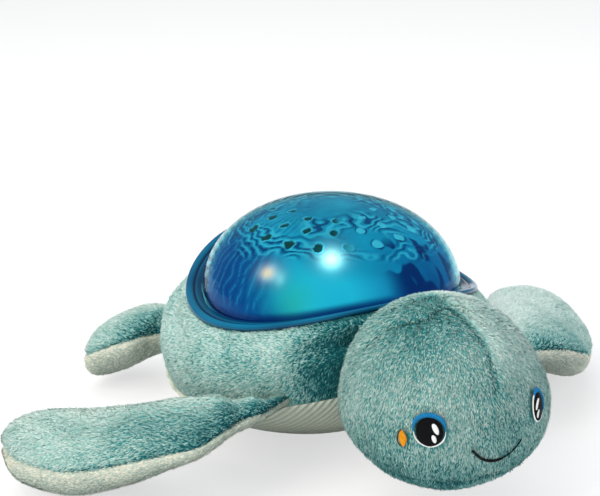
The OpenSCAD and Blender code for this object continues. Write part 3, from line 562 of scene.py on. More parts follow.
# The ribs lie on the cloth, so they are counted along its surface out from the foot.
step = np.linalg.norm(np.diff(belly_outer, axis=0), axis=-1)
run = np.concatenate([np.zeros((1, belly_columns)), np.cumsum(step, 0)])
reach_in = foot_r + belly_ring + run[-1:] - run
rib = np.abs(np.cos(math.pi * (reach_in * np.cos(belly_turn) / rib_pitch))) ** rib_round
rib_fade = ramped(belly_dip, 0, 0.06) * ramped(-belly_dip, -math.pi / 2, 0.05)
roll_share = np.clip((np.sin(belly_turn) + 0.7) / 0.5, 0.1, 1)
seam_roll = roll_height * hump(belly_dip - roll_dip, roll_width) * roll_share
belly_raise = (rib - rib_sink) * rib_height * rib_fade + seam_roll
belly_outer = belly_outer + belly_normal * belly_raise[..., None]
belly_outer[..., 2] = np.maximum(belly_outer[..., 2], belly_floor)
belly_in = ring_point(cavity_r, hub_turn, tub_floor - soft_gap)
hub_low = ring_point(foot_r + soft_gap, hub_turn, belly_low, foot_back)
hub_high = ring_point(foot_r + soft_gap, hub_turn, tub_floor - soft_gap, foot_back)
belly_rings = np.concatenate([belly_in[None], belly_outer, hub_low[None], hub_high[None]])
# Painted light brightens the rib crowns and the seam's roll, and painted shade greys the grooves.
belly_shade = np.concatenate([np.full((1, belly_columns), inside_shade),
                              groove_painted_shade + rib_painted_light * rib + roll_painted_light * seam_roll,
                              np.full((2, belly_columns), hub_shade)])
belly = build("corduroy_belly", belly_rings, *tube_faces(belly_rings), belly_shade)
belly.data.materials.append(cord_fabric())
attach(belly, "housing")
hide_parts("belly_panel")

# Plush head: an egg of the same teal plush, stuffed firm, with darts gathered at the top of its back.
# It is sewn to the front of the body, and the stitched face is attached to the head.
joints = {joint["name"]: joint for joint in frame["joints"]}
neck_y, neck_z = np.array(joints["head_nod"]["pos_m"][1:]) / mm
head_mid = np.array([0.0, -120.5, neck_z])
head_half = np.array([50.5, 54.0, 47.0])
head_power = 2.2
head_egg = 0.1
head_back = -40.0
head_nose = 89.5
head_columns = 300
head_rows = 150
head_lumps = [(0.9, 26, 31), (0.35, 11, 32)]
head_level = 0.63
crown_seam = [(-1, -118, 116), (0, -133, 115), (0, -147, 111), (0, -160, 103), (-1, -167, 96), (-1, -171, 88)]
side_dart = [(-4, -121, 116), (-13, -127, 114), (-20, -126, 112), (-27, -117, 108), (-33, -112, 103),
             (-40, -108, 95)]
gusset = [(-5, -128, 115), (-18, -131, 112), (-26, -131, 109), (-33, -133, 103), (-38, -134, 97)]
chin_side = [(-49, -98, 46), (-47, -112, 42), (-43, -126, 39), (-38, -143, 38), (-28, -156, 38),
             (-8, -165, 40)]
nap_crown = np.array([0, -108.0, 121.0])


def squared_off(wave, power):
    """A sine or cosine flattened at its ends: a power of 2 leaves a circle, more makes it squarer."""
    return np.sign(wave) * np.abs(wave) ** (2 / power)


def head_point(forward, around):
    """Point of the head: forward runs from its back to its nose, around turns about its long axis."""
    slim = squared_off(np.cos(forward), head_power)
    up = slim * squared_off(np.sin(around), head_power)
    wide = slim * squared_off(np.cos(around), head_power) * (1 - head_egg * up)
    return head_mid + np.stack([wide, -squared_off(np.sin(forward), head_power), up], -1) * head_half


def onto_head(points):
    """Points moved straight to or from the head's middle until they lie on its skin."""
    away = (points - head_mid) / head_half
    for _ in range(6):
        plain = away / np.stack(np.broadcast_arrays(1 - head_egg * away[..., 2], 1.0, 1.0), -1)
        size = np.sum(np.abs(plain) ** head_power, -1)
        away = away * (size ** (-1 / head_power))[..., None]
    return head_mid + away * head_half


def mirrored(path):
    """The same path on the head's other side."""
    return [(-x, y, z) for x, y, z in path]


def distance_to(points, path):
    """Distance from each point to a path of straight runs."""
    path = np.array(path, float)
    best = np.full(points.shape[:-1], 1e9)
    for start, end in zip(path[:-1], path[1:]):
        along = np.clip(((points - start) @ (end - start)) / np.sum((end - start) ** 2), 0, 1)
        best = np.minimum(best, np.linalg.norm(points - start - along[..., None] * (end - start), axis=-1))
    return best


def distance_to_pair(points, path):
    """Distance from each point to the nearer of a path and its mirror image."""
    return np.minimum(distance_to(points, path), distance_to(points, mirrored(path)))


def bag_faces(rows):
    """Face arrays and map corners for rings of points with a face over each end."""
    n, m = rows.shape[:2]
    quads, corners = skin_faces(rows)
    ring = np.arange(m)
    turn = ring / m
    back_corners = np.stack([turn[::-1], turn * 0], -1)
    front_corners = np.stack([turn, turn * 0 + 1], -1)
    faces = [quads, ring[::-1][None], (ring + (n - 1) * m)[None]]
    return faces, np.concatenate([corners, back_corners, front_corners])


head_around, head_forward = np.meshgrid(np.linspace(0, 2 * math.pi, head_columns, endpoint=False),
                                        np.radians(np.linspace(head_back, head_nose, head_rows)))
head_form = head_point(head_forward, head_around)
head_x, head_y, head_z = np.moveaxis(head_form, -1, 0)
crown_gap = distance_to(head_form, crown_seam)
dart_gap = distance_to_pair(head_form, side_dart)
gusset_gap = distance_to_pair(head_form, gusset)
chin_gap = distance_to(head_form, chin_side + mirrored(chin_side)[::-1])
# Each seam is a groove of its own depth and width; the crown and darts also draw in the cloth beside them.
seam_dip = sum(depth * hump(gap, width) for gap, depth, width in [
    (crown_gap, 0.8, 1.6), (crown_gap, 0.5, 6), (dart_gap, 1.2, 1.6), (dart_gap, 0.7, 6),
    (gusset_gap, 0.4, 4), (chin_gap, 1.4, 1.8)])
head_raise = stuffing(head_form, head_lumps) - seam_dip - pile_bed
head_rings = head_form + normals_of(head_form, head_mid) * head_raise[..., None]
head_normal = normals_of(head_rings, head_mid)
# The crown's panels are brushed apart, and painted light and shade stand for the light on their nap:
# the right one a little darker, the left one paler. Painted shade darkens the seams and the low part
# of the head, the chin with it.
over_top = ramped(head_z, 84, 22)
right_panel_painted_shade = over_top * ramped(-head_x, 0, 4) * ramped(head_x, -40, 12)
left_panel_painted_light = over_top * ramped(head_x, 0, 4)
low_painted_shade = ramped(-head_z, -60, 30)
muzzle = hump(head_x - 6, 15) * hump(head_z - 66, 13)
seam_painted_shade = hump(np.minimum(crown_gap, np.minimum(dart_gap, chin_gap)), 1.6)
head_tone = (head_level - 0.02 * right_panel_painted_shade + 0.22 * left_panel_painted_light - 0.42 * low_painted_shade - 0.07 * muzzle
             - 0.16 * seam_painted_shade)
head_skin = build("plush_head", head_rings, *bag_faces(head_rings), skin_shade(head_tone))
head_skin.data.materials.append(teal_plush)
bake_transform(head_skin)
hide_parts("head_plush")

# Embroidered face: rayon satin stitch laid over the plush, in black, white, sky blue, amber and brown thread.
# Each eye is a black pupil with two white sparks, a white rim below and a blue lid above.
# The cheeks are amber ovals edged in brown, and the smile is a black rope stitch; the pile there is clipped.
thread_step = 0.42
thread_round = 0.34
thread_twist = 0.35 * mm
stitch_lift = 0.25
stitch_crown = 0.35
spark_lift, lid_lift, edge_lift = 0.5, 0.1, 0.3
band_crown = 0.3
eye_tall = 9.0
eye_deep = 12
pupil_centre = np.array([0.0, -0.7])
pupil_share = (0.82, 0.78)
white_rim_shares = (0.82, 0.86), (0.92, 0.96)
white_rim_from, white_rim_to = -10, 170
lid_shares = (0.8, 0.7), (1.0, 0.99)
# An eye's row: side, hand, place across and up, half width, first and last angle of the lid in degrees.
eye_table = [("right", 1, -33.6, 71.2, 9.2, 6, 190), ("left", -1, 21.8, 75.6, 5.2, -30, 140)]
# A spark's row: half width as a share of the eye's, half height, share aside, height, lean in degrees.
spark_table = [(0.15, 2.8, 0.31, 2.0, 28), (0.13, 1.9, 0.26, -3.0, 18)]
cheek_table = [("right", 1, -42.2, 65.0), ("left", -1, 47.6, 68.0)]
cheek_half = (2.3, 4.1)
cheek_edge = (2.7, 4.4)
cheek_lean = 8
cheek_taper = 1.5
cheek_sweep = 1.35
smile_middle = (-2.5, 53.2)
smile_half = 13.6
smile_rise = 8.5
smile_curve = 2.2
smile_slant = 0.35
smile_near, smile_far = 0.66, 0.34
clipped_eye, clipped_cheek, clipped_smile = 0.98, 3.2, 0.8
neck_hidden = 3


def stitch_thread(name, colour, deep):
    """Rayon embroidery thread: smooth twisted filament with a silky streak along each stitch."""
    material, tree = new_material(name)
    place = add(tree, "TexCoord").outputs["Object"]
    # The filament twist is 0.15 mm; it is drawn at 0.35 mm so that it shows.
    twist = add(tree, "TexNoise", {"Vector": place, "Scale": 1 / thread_twist, "Detail": 1.0})
    tone = add(tree, "ValToRGB", {"Fac": twist.outputs["Fac"]}, [(0.3, deep), (0.7, colour)])
    bump = add(tree, "Bump", {"Height": twist.outputs["Fac"], "Strength": 0.3, "Distance": 0.1 * mm})
    surface = add(tree, "BsdfPrincipled", {"Base Color": tone.outputs["Color"], "Roughness": 0.5,
                                           "Specular IOR Level": 0.12, "Normal": bump.outputs[0]})
    add(tree, "OutputMaterial", {"Surface": surface.outputs[0]})
    return material


thread_colours = [
    stitch_thread("black_rayon_thread", "0a0b10", "050508"),
    stitch_thread("white_rayon_thread", "f6f7f4", "cfd6d4"),
    stitch_thread("sky_blue_rayon_thread", "1d80b4", "0f5a8a"),
    stitch_thread("amber_rayon_thread", "eaa01c", "b06a08"),
    stitch_thread("brown_rayon_thread", "5a3a12", "2c1a08"),
]
black, white, blue, amber, brown = range(5)


def satin(name, runs, body):
    """One piece of embroidery from runs of (path of points, outward normals, thread radius, colour)."""
    points, quads, tints = [], [], []
    ring = np.radians([0, 45, 90, 135, 180, 270])
    total = 0
    for path, normals, radius, tint in runs:
        side = unit(np.cross(normals, unit(np.gradient(path, axis=0))))
        share = np.linspace(0, 1, len(path))
        taper = np.minimum(1, np.sqrt(np.maximum(0.02, 1 - (2 * share - 1) ** 8)))[:, None, None]
        loop = side[:, None] * np.cos(ring)[None, :, None] + normals[:, None] * np.sin(ring)[None, :, None]
        rows = path[:, None] + loop * radius * taper
        points.append(rows.reshape(-1, 3))
        quads.append(skin_faces(rows)[0] + total)
        tints.append(np.full(len(quads[-1]), tint))
        total += len(points[-1])
    made = build(name, np.concatenate(points), [np.concatenate(quads)])
    for thread in thread_colours:
        made.data.materials.append(thread)
    made.data.polygons.foreach_set("material_index", np.concatenate(tints).astype(np.int32))
    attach(made, body)
    return made


def face_frame(x, z):
    """Middle, right, up and outward directions of a place on the face."""
    spot = onto_head(np.array([x, head_mid[1] - head_half[1] - 6, z]))
    for _ in range(20):
        spot = onto_head(np.array([x, spot[1], z]))
    near = onto_head(spot + np.array([[0.5, 0, 0], [-0.5, 0, 0], [0, 0, 0.5], [0, 0, -0.5]]))
    out = unit(np.cross(near[2] - near[3], near[0] - near[1]))
    if out[1] > 0:
        out = -out
    right = unit(np.cross([0, 0, 1.0], out))
    return spot, right, np.cross(out, right), out


def laid(place, flat, lift):
    """Flat stitch points, in millimetres right and up of a place, laid over the plush."""
    spot, right, up, out = place
    points = onto_head(spot + flat[..., :1] * right + flat[..., 1:2] * up)
    return points + out * np.asarray(lift)[..., None], np.broadcast_to(out, points.shape)


def fill_runs(place, half_w, half_h, at, tilt, tint, lift, taper=2.0):
    """Parallel stitches that fill an oval at a place, more pointed by a low taper, turned by tilt degrees."""
    runs = []
    turn = math.radians(tilt)
    turner = np.array([[math.cos(turn), -math.sin(turn)], [math.sin(turn), math.cos(turn)]])
    for y in np.arange(-half_h + thread_step / 2, half_h, thread_step):
        reach = half_w * (1 - abs(y / half_h) ** taper) ** (1 / taper)
        across = np.linspace(-reach, reach, 7)
        flat = np.stack([across, np.full(7, y)], -1) @ turner.T + at
        points, out = laid(place, flat, lift + stitch_crown * (1 - (across / half_w) ** 2))
        runs.append((points, out, thread_round, tint))
    return runs


def band_runs(place, inner, outer, start, stop, tint, lift):
    """Short stitches across a curved band; inner and outer are oval half sizes, start and stop in degrees."""
    runs = []
    steps = int(abs(math.radians(stop - start)) * max(outer) / thread_step)
    for angle in np.radians(np.linspace(start, stop, steps)):
        share = (math.degrees(angle) - start) / (stop - start)
        narrow = min(1.0, 4 * min(share, 1 - share) + 0.25)
        near = inner * np.array([math.cos(angle), math.sin(angle)])
        far = outer * np.array([math.cos(angle), math.sin(angle)])
        flat = near + (far - near) * narrow * np.linspace(0, 1, 5)[:, None]
        points, out = laid(place, flat, lift + band_crown * np.sin(np.linspace(0, math.pi, 5)))
        runs.append((points, out, thread_round, tint))
    return runs


eye_gaps = []
for eye_side, hand, eye_x, eye_z, eye_wide, lid_from, lid_to in eye_table:
    place = face_frame(eye_x, eye_z)
    eye_half = np.array([eye_wide, eye_tall])
    rim_near, rim_far = eye_half * white_rim_shares
    lid_near, lid_far = eye_half * lid_shares
    runs = fill_runs(place, *(eye_half * pupil_share), pupil_centre, 0, black, stitch_lift)
    runs += band_runs(place, rim_near, rim_far, lid_to + white_rim_from, lid_to + white_rim_to, white,
                      stitch_lift)
    runs += band_runs(place, lid_near, lid_far, lid_from, lid_to, blue, stitch_lift + lid_lift)
    for spark_wide, spark_tall, aside, up, lean in spark_table:
        spark_at = pupil_centre + [hand * aside * eye_wide, up]
        runs += fill_runs(place, spark_wide * eye_wide, spark_tall, spark_at, hand * lean, white,
                          stitch_lift + spark_lift)
    piece = satin(f"{eye_side}_eye_stitches", runs, "head")
    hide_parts(f"{eye_side}_eye")
    away = head_form - place[0]
    eye_gaps.append(np.sqrt((away @ place[1] / eye_wide) ** 2 + (away @ place[2] / eye_tall) ** 2
                            + (away @ place[3] / eye_deep) ** 2))

cheek_gaps = []
for cheek_side, hand, cheek_x, cheek_z in cheek_table:
    place = face_frame(cheek_x, cheek_z)
    runs = fill_runs(place, *cheek_half, np.zeros(2), hand * cheek_lean, amber, stitch_lift,
                     taper=cheek_taper)
    edge_turn = np.linspace(-cheek_sweep, cheek_sweep, 15)
    edge = np.stack([-hand * cheek_edge[0] * np.cos(edge_turn), cheek_edge[1] * np.sin(edge_turn)], -1)
    runs.append((*laid(place, edge, np.full(15, stitch_lift + edge_lift)), thread_round, brown))
    satin(f"{cheek_side}_cheek_stitches", runs, "head")
    cheek_gaps.append(np.linalg.norm(head_form - place[0], axis=-1))

smile_line = [face_frame(smile_middle[0] + smile_half * share,
                         smile_middle[1] + smile_rise * abs(share) ** smile_curve)
              for share in np.linspace(-1, 1, 29)]
smile_runs = []
for (spot, right, up, out), (spot_two, *_) in zip(smile_line[:-2], smile_line[2:]):
    ends = np.linspace(0, 1, 6)[:, None]
    slant = np.linspace(-smile_slant, smile_slant, 6)[:, None] * up
    path = spot * (1 - ends) + spot_two * ends + slant + out * stitch_lift
    thick = smile_near if spot[0] < 0 else smile_far
    smile_runs.append((path, np.broadcast_to(out, path.shape), thick, black))
satin("smile_stitches", smile_runs, "head")
smile_gap = distance_to(head_form, [place[0] for place in smile_line])

clipped = ((np.minimum(*eye_gaps) < clipped_eye) | (np.minimum(*cheek_gaps) < clipped_cheek)
           | (smile_gap < clipped_smile))
head_keep = ~(clipped | (head_y > neck_y + neck_hidden))[:-1]
head_nap = head_form - nap_crown
head_pile = pile("plush_head_pile", head_rings, head_normal, head_nap, head_keep, head_tone, seed=41)
head_pile.data.materials.append(teal_plush)
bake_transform(head_pile)

# Flippers: flat stuffed paddles, teal plush above and cream plush below, sewn together round their edge.
# Their narrow roots are pinched into folds and caught in the body's seam.
# The cream ramp's grey-green dark end is the colour that its painted shade reaches.
cream_stops = [(0.0, "6f8279"), (0.3, "9eb2a8"), (0.55, "c5cfc3"), (0.78, "e8e2d0"), (1.0, "faf4e4")]
flipper_power = 2.2
flipper_rows = 92
flipper_columns = 128
flipper_bed = 0.8
flipper_floor = 0.6
tip_share = 0.3
tip_end = 89.3
front_edge_share = 0.26
back_edge_share = 0.8
thick_share = 0.55
twist_share = 0.6
root_inside = 13.0
root_pull, root_lift = 2.2, 0.2
seam_up = 0.25
edge_pinch, edge_pinch_width = 1.3, 1.6
fold_height, fold_pitch, fold_reach = 0.0138, 0.15, 0.19
pile_from = -9
top_level, under_level = 0.9, 0.8
front_painted_shade, inner_painted_shade, fold_painted_shade, under_painted_shade, edge_painted_shade = 0.15, 0.28, 0.1, 0.36, 0.25
under_length = 0.8
nap_forward = 0.35
upward = np.array([0, 0, 1.0])
rear_cut = dict(root_wide=34, root_thick=26, root_low=7, fall_run=1.4,
                length=53.5, wide=58, thick=36, tip_z=15, roll=6, bend=-8)
front_root = dict(root_wide=19, root_thick=13, root_low=0, fall_run=0.75)
flipper_table = [
    ("front_right", 1, dict(front_root, length=137, wide=78, thick=34, tip_z=26, roll=-3, bend=16, seed=51)),
    ("front_left", -1, dict(front_root, length=138, wide=74, thick=36, tip_z=28.5, roll=23, bend=5, seed=52)),
    ("rear_right", 1, dict(rear_cut, seed=53)),
    ("rear_left", -1, dict(rear_cut, seed=54)),
]


def eased(value, start=0.0, run=1.0):
    """Smooth step: 0 up to start, 1 from start and run onwards."""
    share = ramped(value, start, run)
    return share * share * (3 - 2 * share)


def paddle(root_z, length, wide, thick, root_wide, root_thick, root_low, fall_run, tip_z, roll, bend, seed):
    """Rings of points from the root outwards in the flipper's own frame.

    With them come which points lie on top, how far out each is, and its shade, which carries painted shade.
    """
    share = np.linspace(0, 1, flipper_rows)
    s = (-root_inside + (length + root_inside) * np.sin(np.radians(tip_end * share ** 0.85)))[:, None]
    q = np.linspace(0, 2 * math.pi, flipper_columns, endpoint=False)[None]
    tip = length * tip_share
    rounded = np.sqrt(np.maximum(0, 1 - ramped(s, length - tip, tip) ** 2))
    gather = 0.6 + 0.4 * eased(s, -5, 14)
    edge_run = np.where(np.cos(q) > 0, front_edge_share, back_edge_share) * length
    half_w = (root_wide + (wide - root_wide) * eased(s / edge_run)) / 2 * rounded * gather
    half_t = (root_thick + (thick - root_thick) * eased(s / (thick_share * length))) / 2
    half_t = half_t * np.sqrt(rounded) * gather
    y = half_w * squared_off(np.cos(q), flipper_power)
    z = half_t * squared_off(np.sin(q), flipper_power)
    twist = np.radians(-roll) * eased(s / (twist_share * length))
    fall = root_low + (root_z - tip_z - root_low) * eased(s / (fall_run * length))
    aside = -bend * (np.maximum(0, s) / length) ** 1.6
    rows = np.stack([s + 0 * q, aside + y * np.cos(twist) - z * np.sin(twist),
                     y * np.sin(twist) + z * np.cos(twist) - fall], -1)
    middle = np.concatenate([s, aside, -fall], 1)[:, None]
    normals = unit(np.cross(np.roll(rows, -1, 1) - np.roll(rows, 1, 1), np.gradient(rows, axis=0)))
    normals = normals * np.sign(np.sum(normals * (rows - middle), -1, keepdims=True) + 1e-9)
    # The seam runs a little above the front edge and along the middle of the back edge.
    seam_q = math.atan(seam_up)
    front_seam = np.hypot(y - half_w * squared_off(math.cos(seam_q), flipper_power),
                          z - half_t * squared_off(math.sin(seam_q), flipper_power))
    edge = np.where(np.cos(q) > 0, front_seam, np.hypot(y + half_w, z))
    on_top = np.sin(q) + 0 * s > seam_up * np.maximum(np.cos(q), 0)
    pinch = edge_pinch * hump(edge, edge_pinch_width) * ramped(s, 0, 12)
    near_root = hump(np.maximum(0, s - 3), fold_reach * length)
    fold_wave = np.cos(2 * math.pi * (s - 3 + 0.3 * y) / (fold_pitch * length))
    folds = near_root * np.maximum(np.sin(q), 0) * fold_height * length * fold_wave
    lumps = stuffing(rows, [(0.9, 24, seed), (0.4, 10, seed + 5)])
    firm = ramped(half_t, 0, 8)
    rows = rows + normals * ((folds + lumps - flipper_bed) * firm - pinch)[..., None]
    # Painted shade darkens the top's front and inner part, the folds near the root, the underside's middle
    # and the seam.
    to_front = eased(0.45 + 0.6 * y / np.maximum(half_w, 1))
    inner_part = 1 - eased(s, 0.3 * length, 0.55 * length)
    top_tone = top_level - to_front * (front_painted_shade + inner_painted_shade * inner_part) - fold_painted_shade * near_root
    under_tone = under_level - under_painted_shade * (1 - np.exp(-edge / 8))
    tone = np.where(on_top, top_tone, under_tone) - edge_painted_shade * hump(edge, 1.3)
    return rows, on_top, s + 0 * q, tone


cream_plush = plush_fabric("cream_polyester_plush", cream_stops)
for flipper_name, hand, cut in flipper_table:
    body_name = f"{flipper_name}_flipper"
    hinge = joints[f"{flipper_name}_lift"]
    root = np.array(hinge["pos_m"]) / mm
    outward = np.cross(upward, hinge["axis"])
    forward = hand * np.cross(upward, outward)
    rows, on_top, out_along, tone = paddle(root[2], **cut)
    # What lies behind the hinge is drawn in under the body, so that the root's end doesn't show.
    inward = unit(np.array([-root[0], -root[1], 0.0])) * root_pull + upward * root_lift
    tucked = np.maximum(0, -out_along)[..., None] * inward
    placed = root + rows[..., :1] * outward + rows[..., 1:2] * forward + rows[..., 2:] * upward + tucked
    placed[..., 2] = np.maximum(placed[..., 2], flipper_floor)
    normals = normals_of(placed, placed.mean(1, keepdims=True))
    skin = build(f"plush_{body_name}", placed, *bag_faces(placed), skin_shade(tone))
    skin.data.materials.append(teal_plush)
    skin.data.materials.append(cream_plush)
    below = ~on_top[:-1]
    face_fabric = np.zeros(len(skin.data.polygons), np.int32)
    face_fabric[:below.size] = below.ravel()
    skin.data.polygons.foreach_set("material_index", face_fabric)
    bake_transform(skin)
    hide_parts(body_name)
    nap = np.broadcast_to(outward + nap_forward * forward, placed.shape)
    shown = out_along[:-1] > pile_from
    layers = [("top", ~below, teal_plush, 1.0), ("under", below, cream_plush, under_length)]
    for layer, mask, fabric, share in layers:
        fur = pile(f"plush_{body_name}_{layer}_pile", placed, normals, nap, mask & shown, tone,
                   seed=cut["seed"] + 10, length=pile_length * share)
        fur.data.materials.append(fabric)
        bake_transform(fur)

# Blue rim: one moulded ring of tinted glossy ABS that follows the saddle and clamps the plush under it.
# Its inner edge holds the dome; a rolled outer lip and a fine groove run all the way round.
# Each point of its section is a distance in from the edge, a height and a share of shadow.
rim_t = 3.6
rim_columns = 288
rim_section = [(16.0, 0.1, 0.9), (1.4, 0.0, 0.8), (0.3, 0.5, 0.65), (0.0, 1.4, 0.4), (0.2, 2.5, 0.1),
               (1.1, 3.3, 0.0), (2.6, rim_t, 0.0), (3.8, 3.5, 0.2), (4.4, 3.05, 0.95),
               (5.1, 3.05, 0.95), (5.8, 3.55, 0.3), (7.0, rim_t, 0.6), (12.0, rim_t, 0.9), (16.0, rim_t, 0.9)]
rim_stops = [(0.3, "084e70"), (0.55, "0b6284"), (0.75, "127696")]
rim_navy = "05203c"
tint_drift = 45 * mm
rub_mark = 1.5 * mm


def glossy_blue():
    """Glossy ABS tinted deep teal blue: a polished moulding with a slow drift of tint and faint rubs."""
    material, tree = new_material("tinted_gloss_abs")
    place = add(tree, "TexCoord").outputs["Object"]
    drift = add(tree, "TexNoise", {"Vector": place, "Scale": 1 / tint_drift, "Detail": 1.0})
    tone = add(tree, "ValToRGB", {"Fac": drift.outputs["Fac"]}, rim_stops)
    # The ring's inner band and its groove lie in the dome's shadow and read almost navy.
    sunk = add(tree, "Attribute", attribute_name="sunk")
    mixed = add(tree, "Mix", {"Factor": sunk.outputs["Fac"], "A": tone.outputs["Color"],
                              "B": linear(rim_navy)}, data_type="RGBA")
    # Rubbing marks are under 0.1 mm; they are drawn 1.5 mm long so that they show.
    rubs = add(tree, "TexNoise", {"Vector": place, "Scale": 1 / rub_mark, "Detail": 3.0})
    rough = add(tree, "MapRange", {"Value": rubs.outputs["Fac"], "To Min": 0.1, "To Max": 0.2})
    surface = add(tree, "BsdfPrincipled", {"Base Color": mixed.outputs[2], "Roughness": rough.outputs[0],
                                           "IOR": 1.46, "Specular IOR Level": 0.2})
    add(tree, "OutputMaterial", {"Surface": surface.outputs[0]})
    return material


rim_abs = glossy_blue()
rim_turn = np.linspace(0, 2 * math.pi, rim_columns, endpoint=False)
rim_rings = np.stack([ring_point(rim_r - inset, rim_turn, rim_low((rim_r - inset) * np.sin(rim_turn)) + up)
                      for inset, up, sunk in rim_section])
rim_piece = build("rolled_rim", rim_rings, *tube_faces(rim_rings))
set_field(rim_piece.data, "sunk", np.repeat([sunk for inset, up, sunk in rim_section], rim_columns))
rim_piece.data.materials.append(rim_abs)
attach(rim_piece, "housing")
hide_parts("rim_bezel")

# Dome: a clear shell of blue-tinted polycarbonate over a second, thinner dome with ripples and small windows.
# The lamps stand under the inner dome; their light on it is a painted glow that it gives off itself,
# white towards the front and warm beside it.
# Layers of painted light and shade lie over one another in the order of the list:
# flank shade, glow, navy shade, ripples, lamps, windows.
nodes = frame["nodes"]
dome_r = 73.5
dome_h = 56.0
dome_power = 2.2
mask_inset = 3.3
mask_thick = 1.2
mask_columns = 420
mask_rows = 150
mask_crown = 89.6
shell_stops = [(0.3, "66bfd0"), (0.7, "74c9d8")]
mould_wave = 30 * mm
height_stops = [(0.0, "1c58a0"), (0.28, "2474b4"), (0.55, "2a9acc"), (0.78, "2eb0d4"), (1.0, "3cbcd4")]
height_span = 52
veil_stops = [(0.35, "5f88b8"), (0.6, "ffffff")]
veil_patch = 30 * mm
plastic_dim = "6a6a6a"
layer_tints = [
    ("flank_painted_shade", "1c58a4"), ("cyan_light", "50ecff"), ("green_light", "62e4b8"), ("navy_painted_shade", "103074"),
    ("ripple", "103c78"), ("ripple_crest", "80ecfa"), ("warm_light", "ff8050"), ("white_light", "ffc0a2"),
    ("window_rim", "90f0ff"), ("window", "2c5450"),
]
glow_level = 0.95
lamp_glare = 5.5
white_lamp_turn = -118.0
warm_lamp_turn = -152.0
left_front_turn = 305
right_flank_turn = 180
# A tier of windows: angle up in degrees, number, shift as a share of their spacing, half size.
window_rows = [(44, 17, 0.0, 2.9), (55, 14, 0.5, 2.4), (66, 9, 0.2, 2.1)]
ripple_pitch = 3.0
ripple_low, ripple_high = 37, 50.5
upright_count = 62


def clear_blue():
    """Blue-tinted clear polycarbonate: polished, slightly wavy from the mould."""
    material, tree = new_material("tinted_polycarbonate")
    place = add(tree, "TexCoord").outputs["Object"]
    wave = add(tree, "TexNoise", {"Vector": place, "Scale": 1 / mould_wave, "Detail": 1.0})
    tint = add(tree, "ValToRGB", {"Fac": wave.outputs["Fac"]}, shell_stops)
    bump = add(tree, "Bump", {"Height": wave.outputs["Fac"], "Strength": 0.05, "Distance": 0.4 * mm})
    surface = add(tree, "BsdfPrincipled", {
        "Base Color": tint.outputs["Color"], "Roughness": 0.02, "IOR": 1.13, "Transmission Weight": 1.0,
        "Normal": bump.outputs[0]})
    add(tree, "OutputMaterial", {"Surface": surface.outputs[0]})
    return material


def painted_glow_ripple():
    """Thin rippled polycarbonate with its lamps' light painted on as glow: cyan by the lamps, navy shade,
    teal at the crown.
    """
    material, tree = new_material("painted_glow_rippled_polycarbonate")
    place = add(tree, "TexCoord").outputs["Object"]
    split = add(tree, "SeparateXYZ", {"Vector": place})
    height = add(tree, "MapRange", {"Value": split.outputs["Z"], "From Min": rim_z * mm,
                                    "From Max": (rim_z + height_span) * mm})
    drift = add(tree, "TexNoise", {"Vector": place, "Scale": 1 / veil_patch, "Detail": 2.0})
    base = add(tree, "ValToRGB", {"Fac": height.outputs[0]}, height_stops)
    veil = add(tree, "ValToRGB", {"Fac": drift.outputs["Fac"]}, veil_stops)
    colour = add(tree, "Mix", {"Factor": 0.6, "A": base.outputs["Color"], "B": veil.outputs["Color"]},
                 data_type="RGBA", blend_type="MULTIPLY")
    shares = {}
    for layer, tint in layer_tints:
        shares[layer] = add(tree, "Attribute", attribute_name=layer).outputs["Fac"]
        colour = add(tree, "Mix", {"Factor": shares[layer], "A": colour.outputs[2], "B": linear(tint)},
                     data_type="RGBA")
    dim = add(tree, "Mix", {"Factor": 1.0, "A": colour.outputs[2], "B": linear(plastic_dim)},
              data_type="RGBA", blend_type="MULTIPLY")
    # The lamps' painted hot spots outshine the plastic round them.
    strength = glow_level
    for lamp_layer in ("warm_light", "white_light"):
        core = add(tree, "Math", {0: shares[lamp_layer], 1: 2.0}, operation="POWER")
        strength = add(tree, "Math", {0: core.outputs[0], 1: lamp_glare, 2: strength},
                       operation="MULTIPLY_ADD").outputs[0]
    surface = add(tree, "BsdfPrincipled", {
        "Base Color": dim.outputs[2], "Roughness": 0.18, "IOR": 1.4, "Specular IOR Level": 0.1,
        "Emission Color": colour.outputs[2], "Emission Strength": strength})
    add(tree, "OutputMaterial", {"Surface": surface.outputs[0]})
    return material


def coat(node_name, material):
    """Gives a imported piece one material."""
    nodes[node_name].data.materials.clear()
    nodes[node_name].data.materials.append(material)


def mask_point(turn, climb, inset):
    """Point of a dome inset from the outer one; climb runs from the rim's level at 0 to a quarter turn."""
    r = (dome_r - inset) * np.cos(climb) ** (2 / dome_power)
    return ring_point(r, turn, rim_z + (dome_h - inset) * np.sin(climb) ** (2 / dome_power))


def turn_from(heading):
    """Signed angle of each point of the inner dome from a heading in degrees, in radians."""
    return np.angle(np.exp(1j * (mask_turn - math.radians(heading))))


def facing(heading):
    """How squarely each point of the inner dome faces a heading in degrees: 1 straight at it, -1 away."""
    return np.cos(turn_from(heading))


def painted_lamp_glow(heading, up, wide, tall):
    """Painted soft round glow of a lamp on the inner dome, at a heading and a height, and again on the far
    side.
    """
    total = 0
    for far in (0, 180):
        apart = turn_from(heading + far) * np.hypot(mask_skin[..., 0], mask_skin[..., 1])
        total = total + hump(apart, wide) * hump(rise - up, tall)
    return np.clip(total, 0, 1)


coat("dome_shell", clear_blue())
mask_turn, mask_share = np.meshgrid(np.linspace(0, 2 * math.pi, mask_columns, endpoint=False),
                                    np.linspace(0, 1, mask_rows))
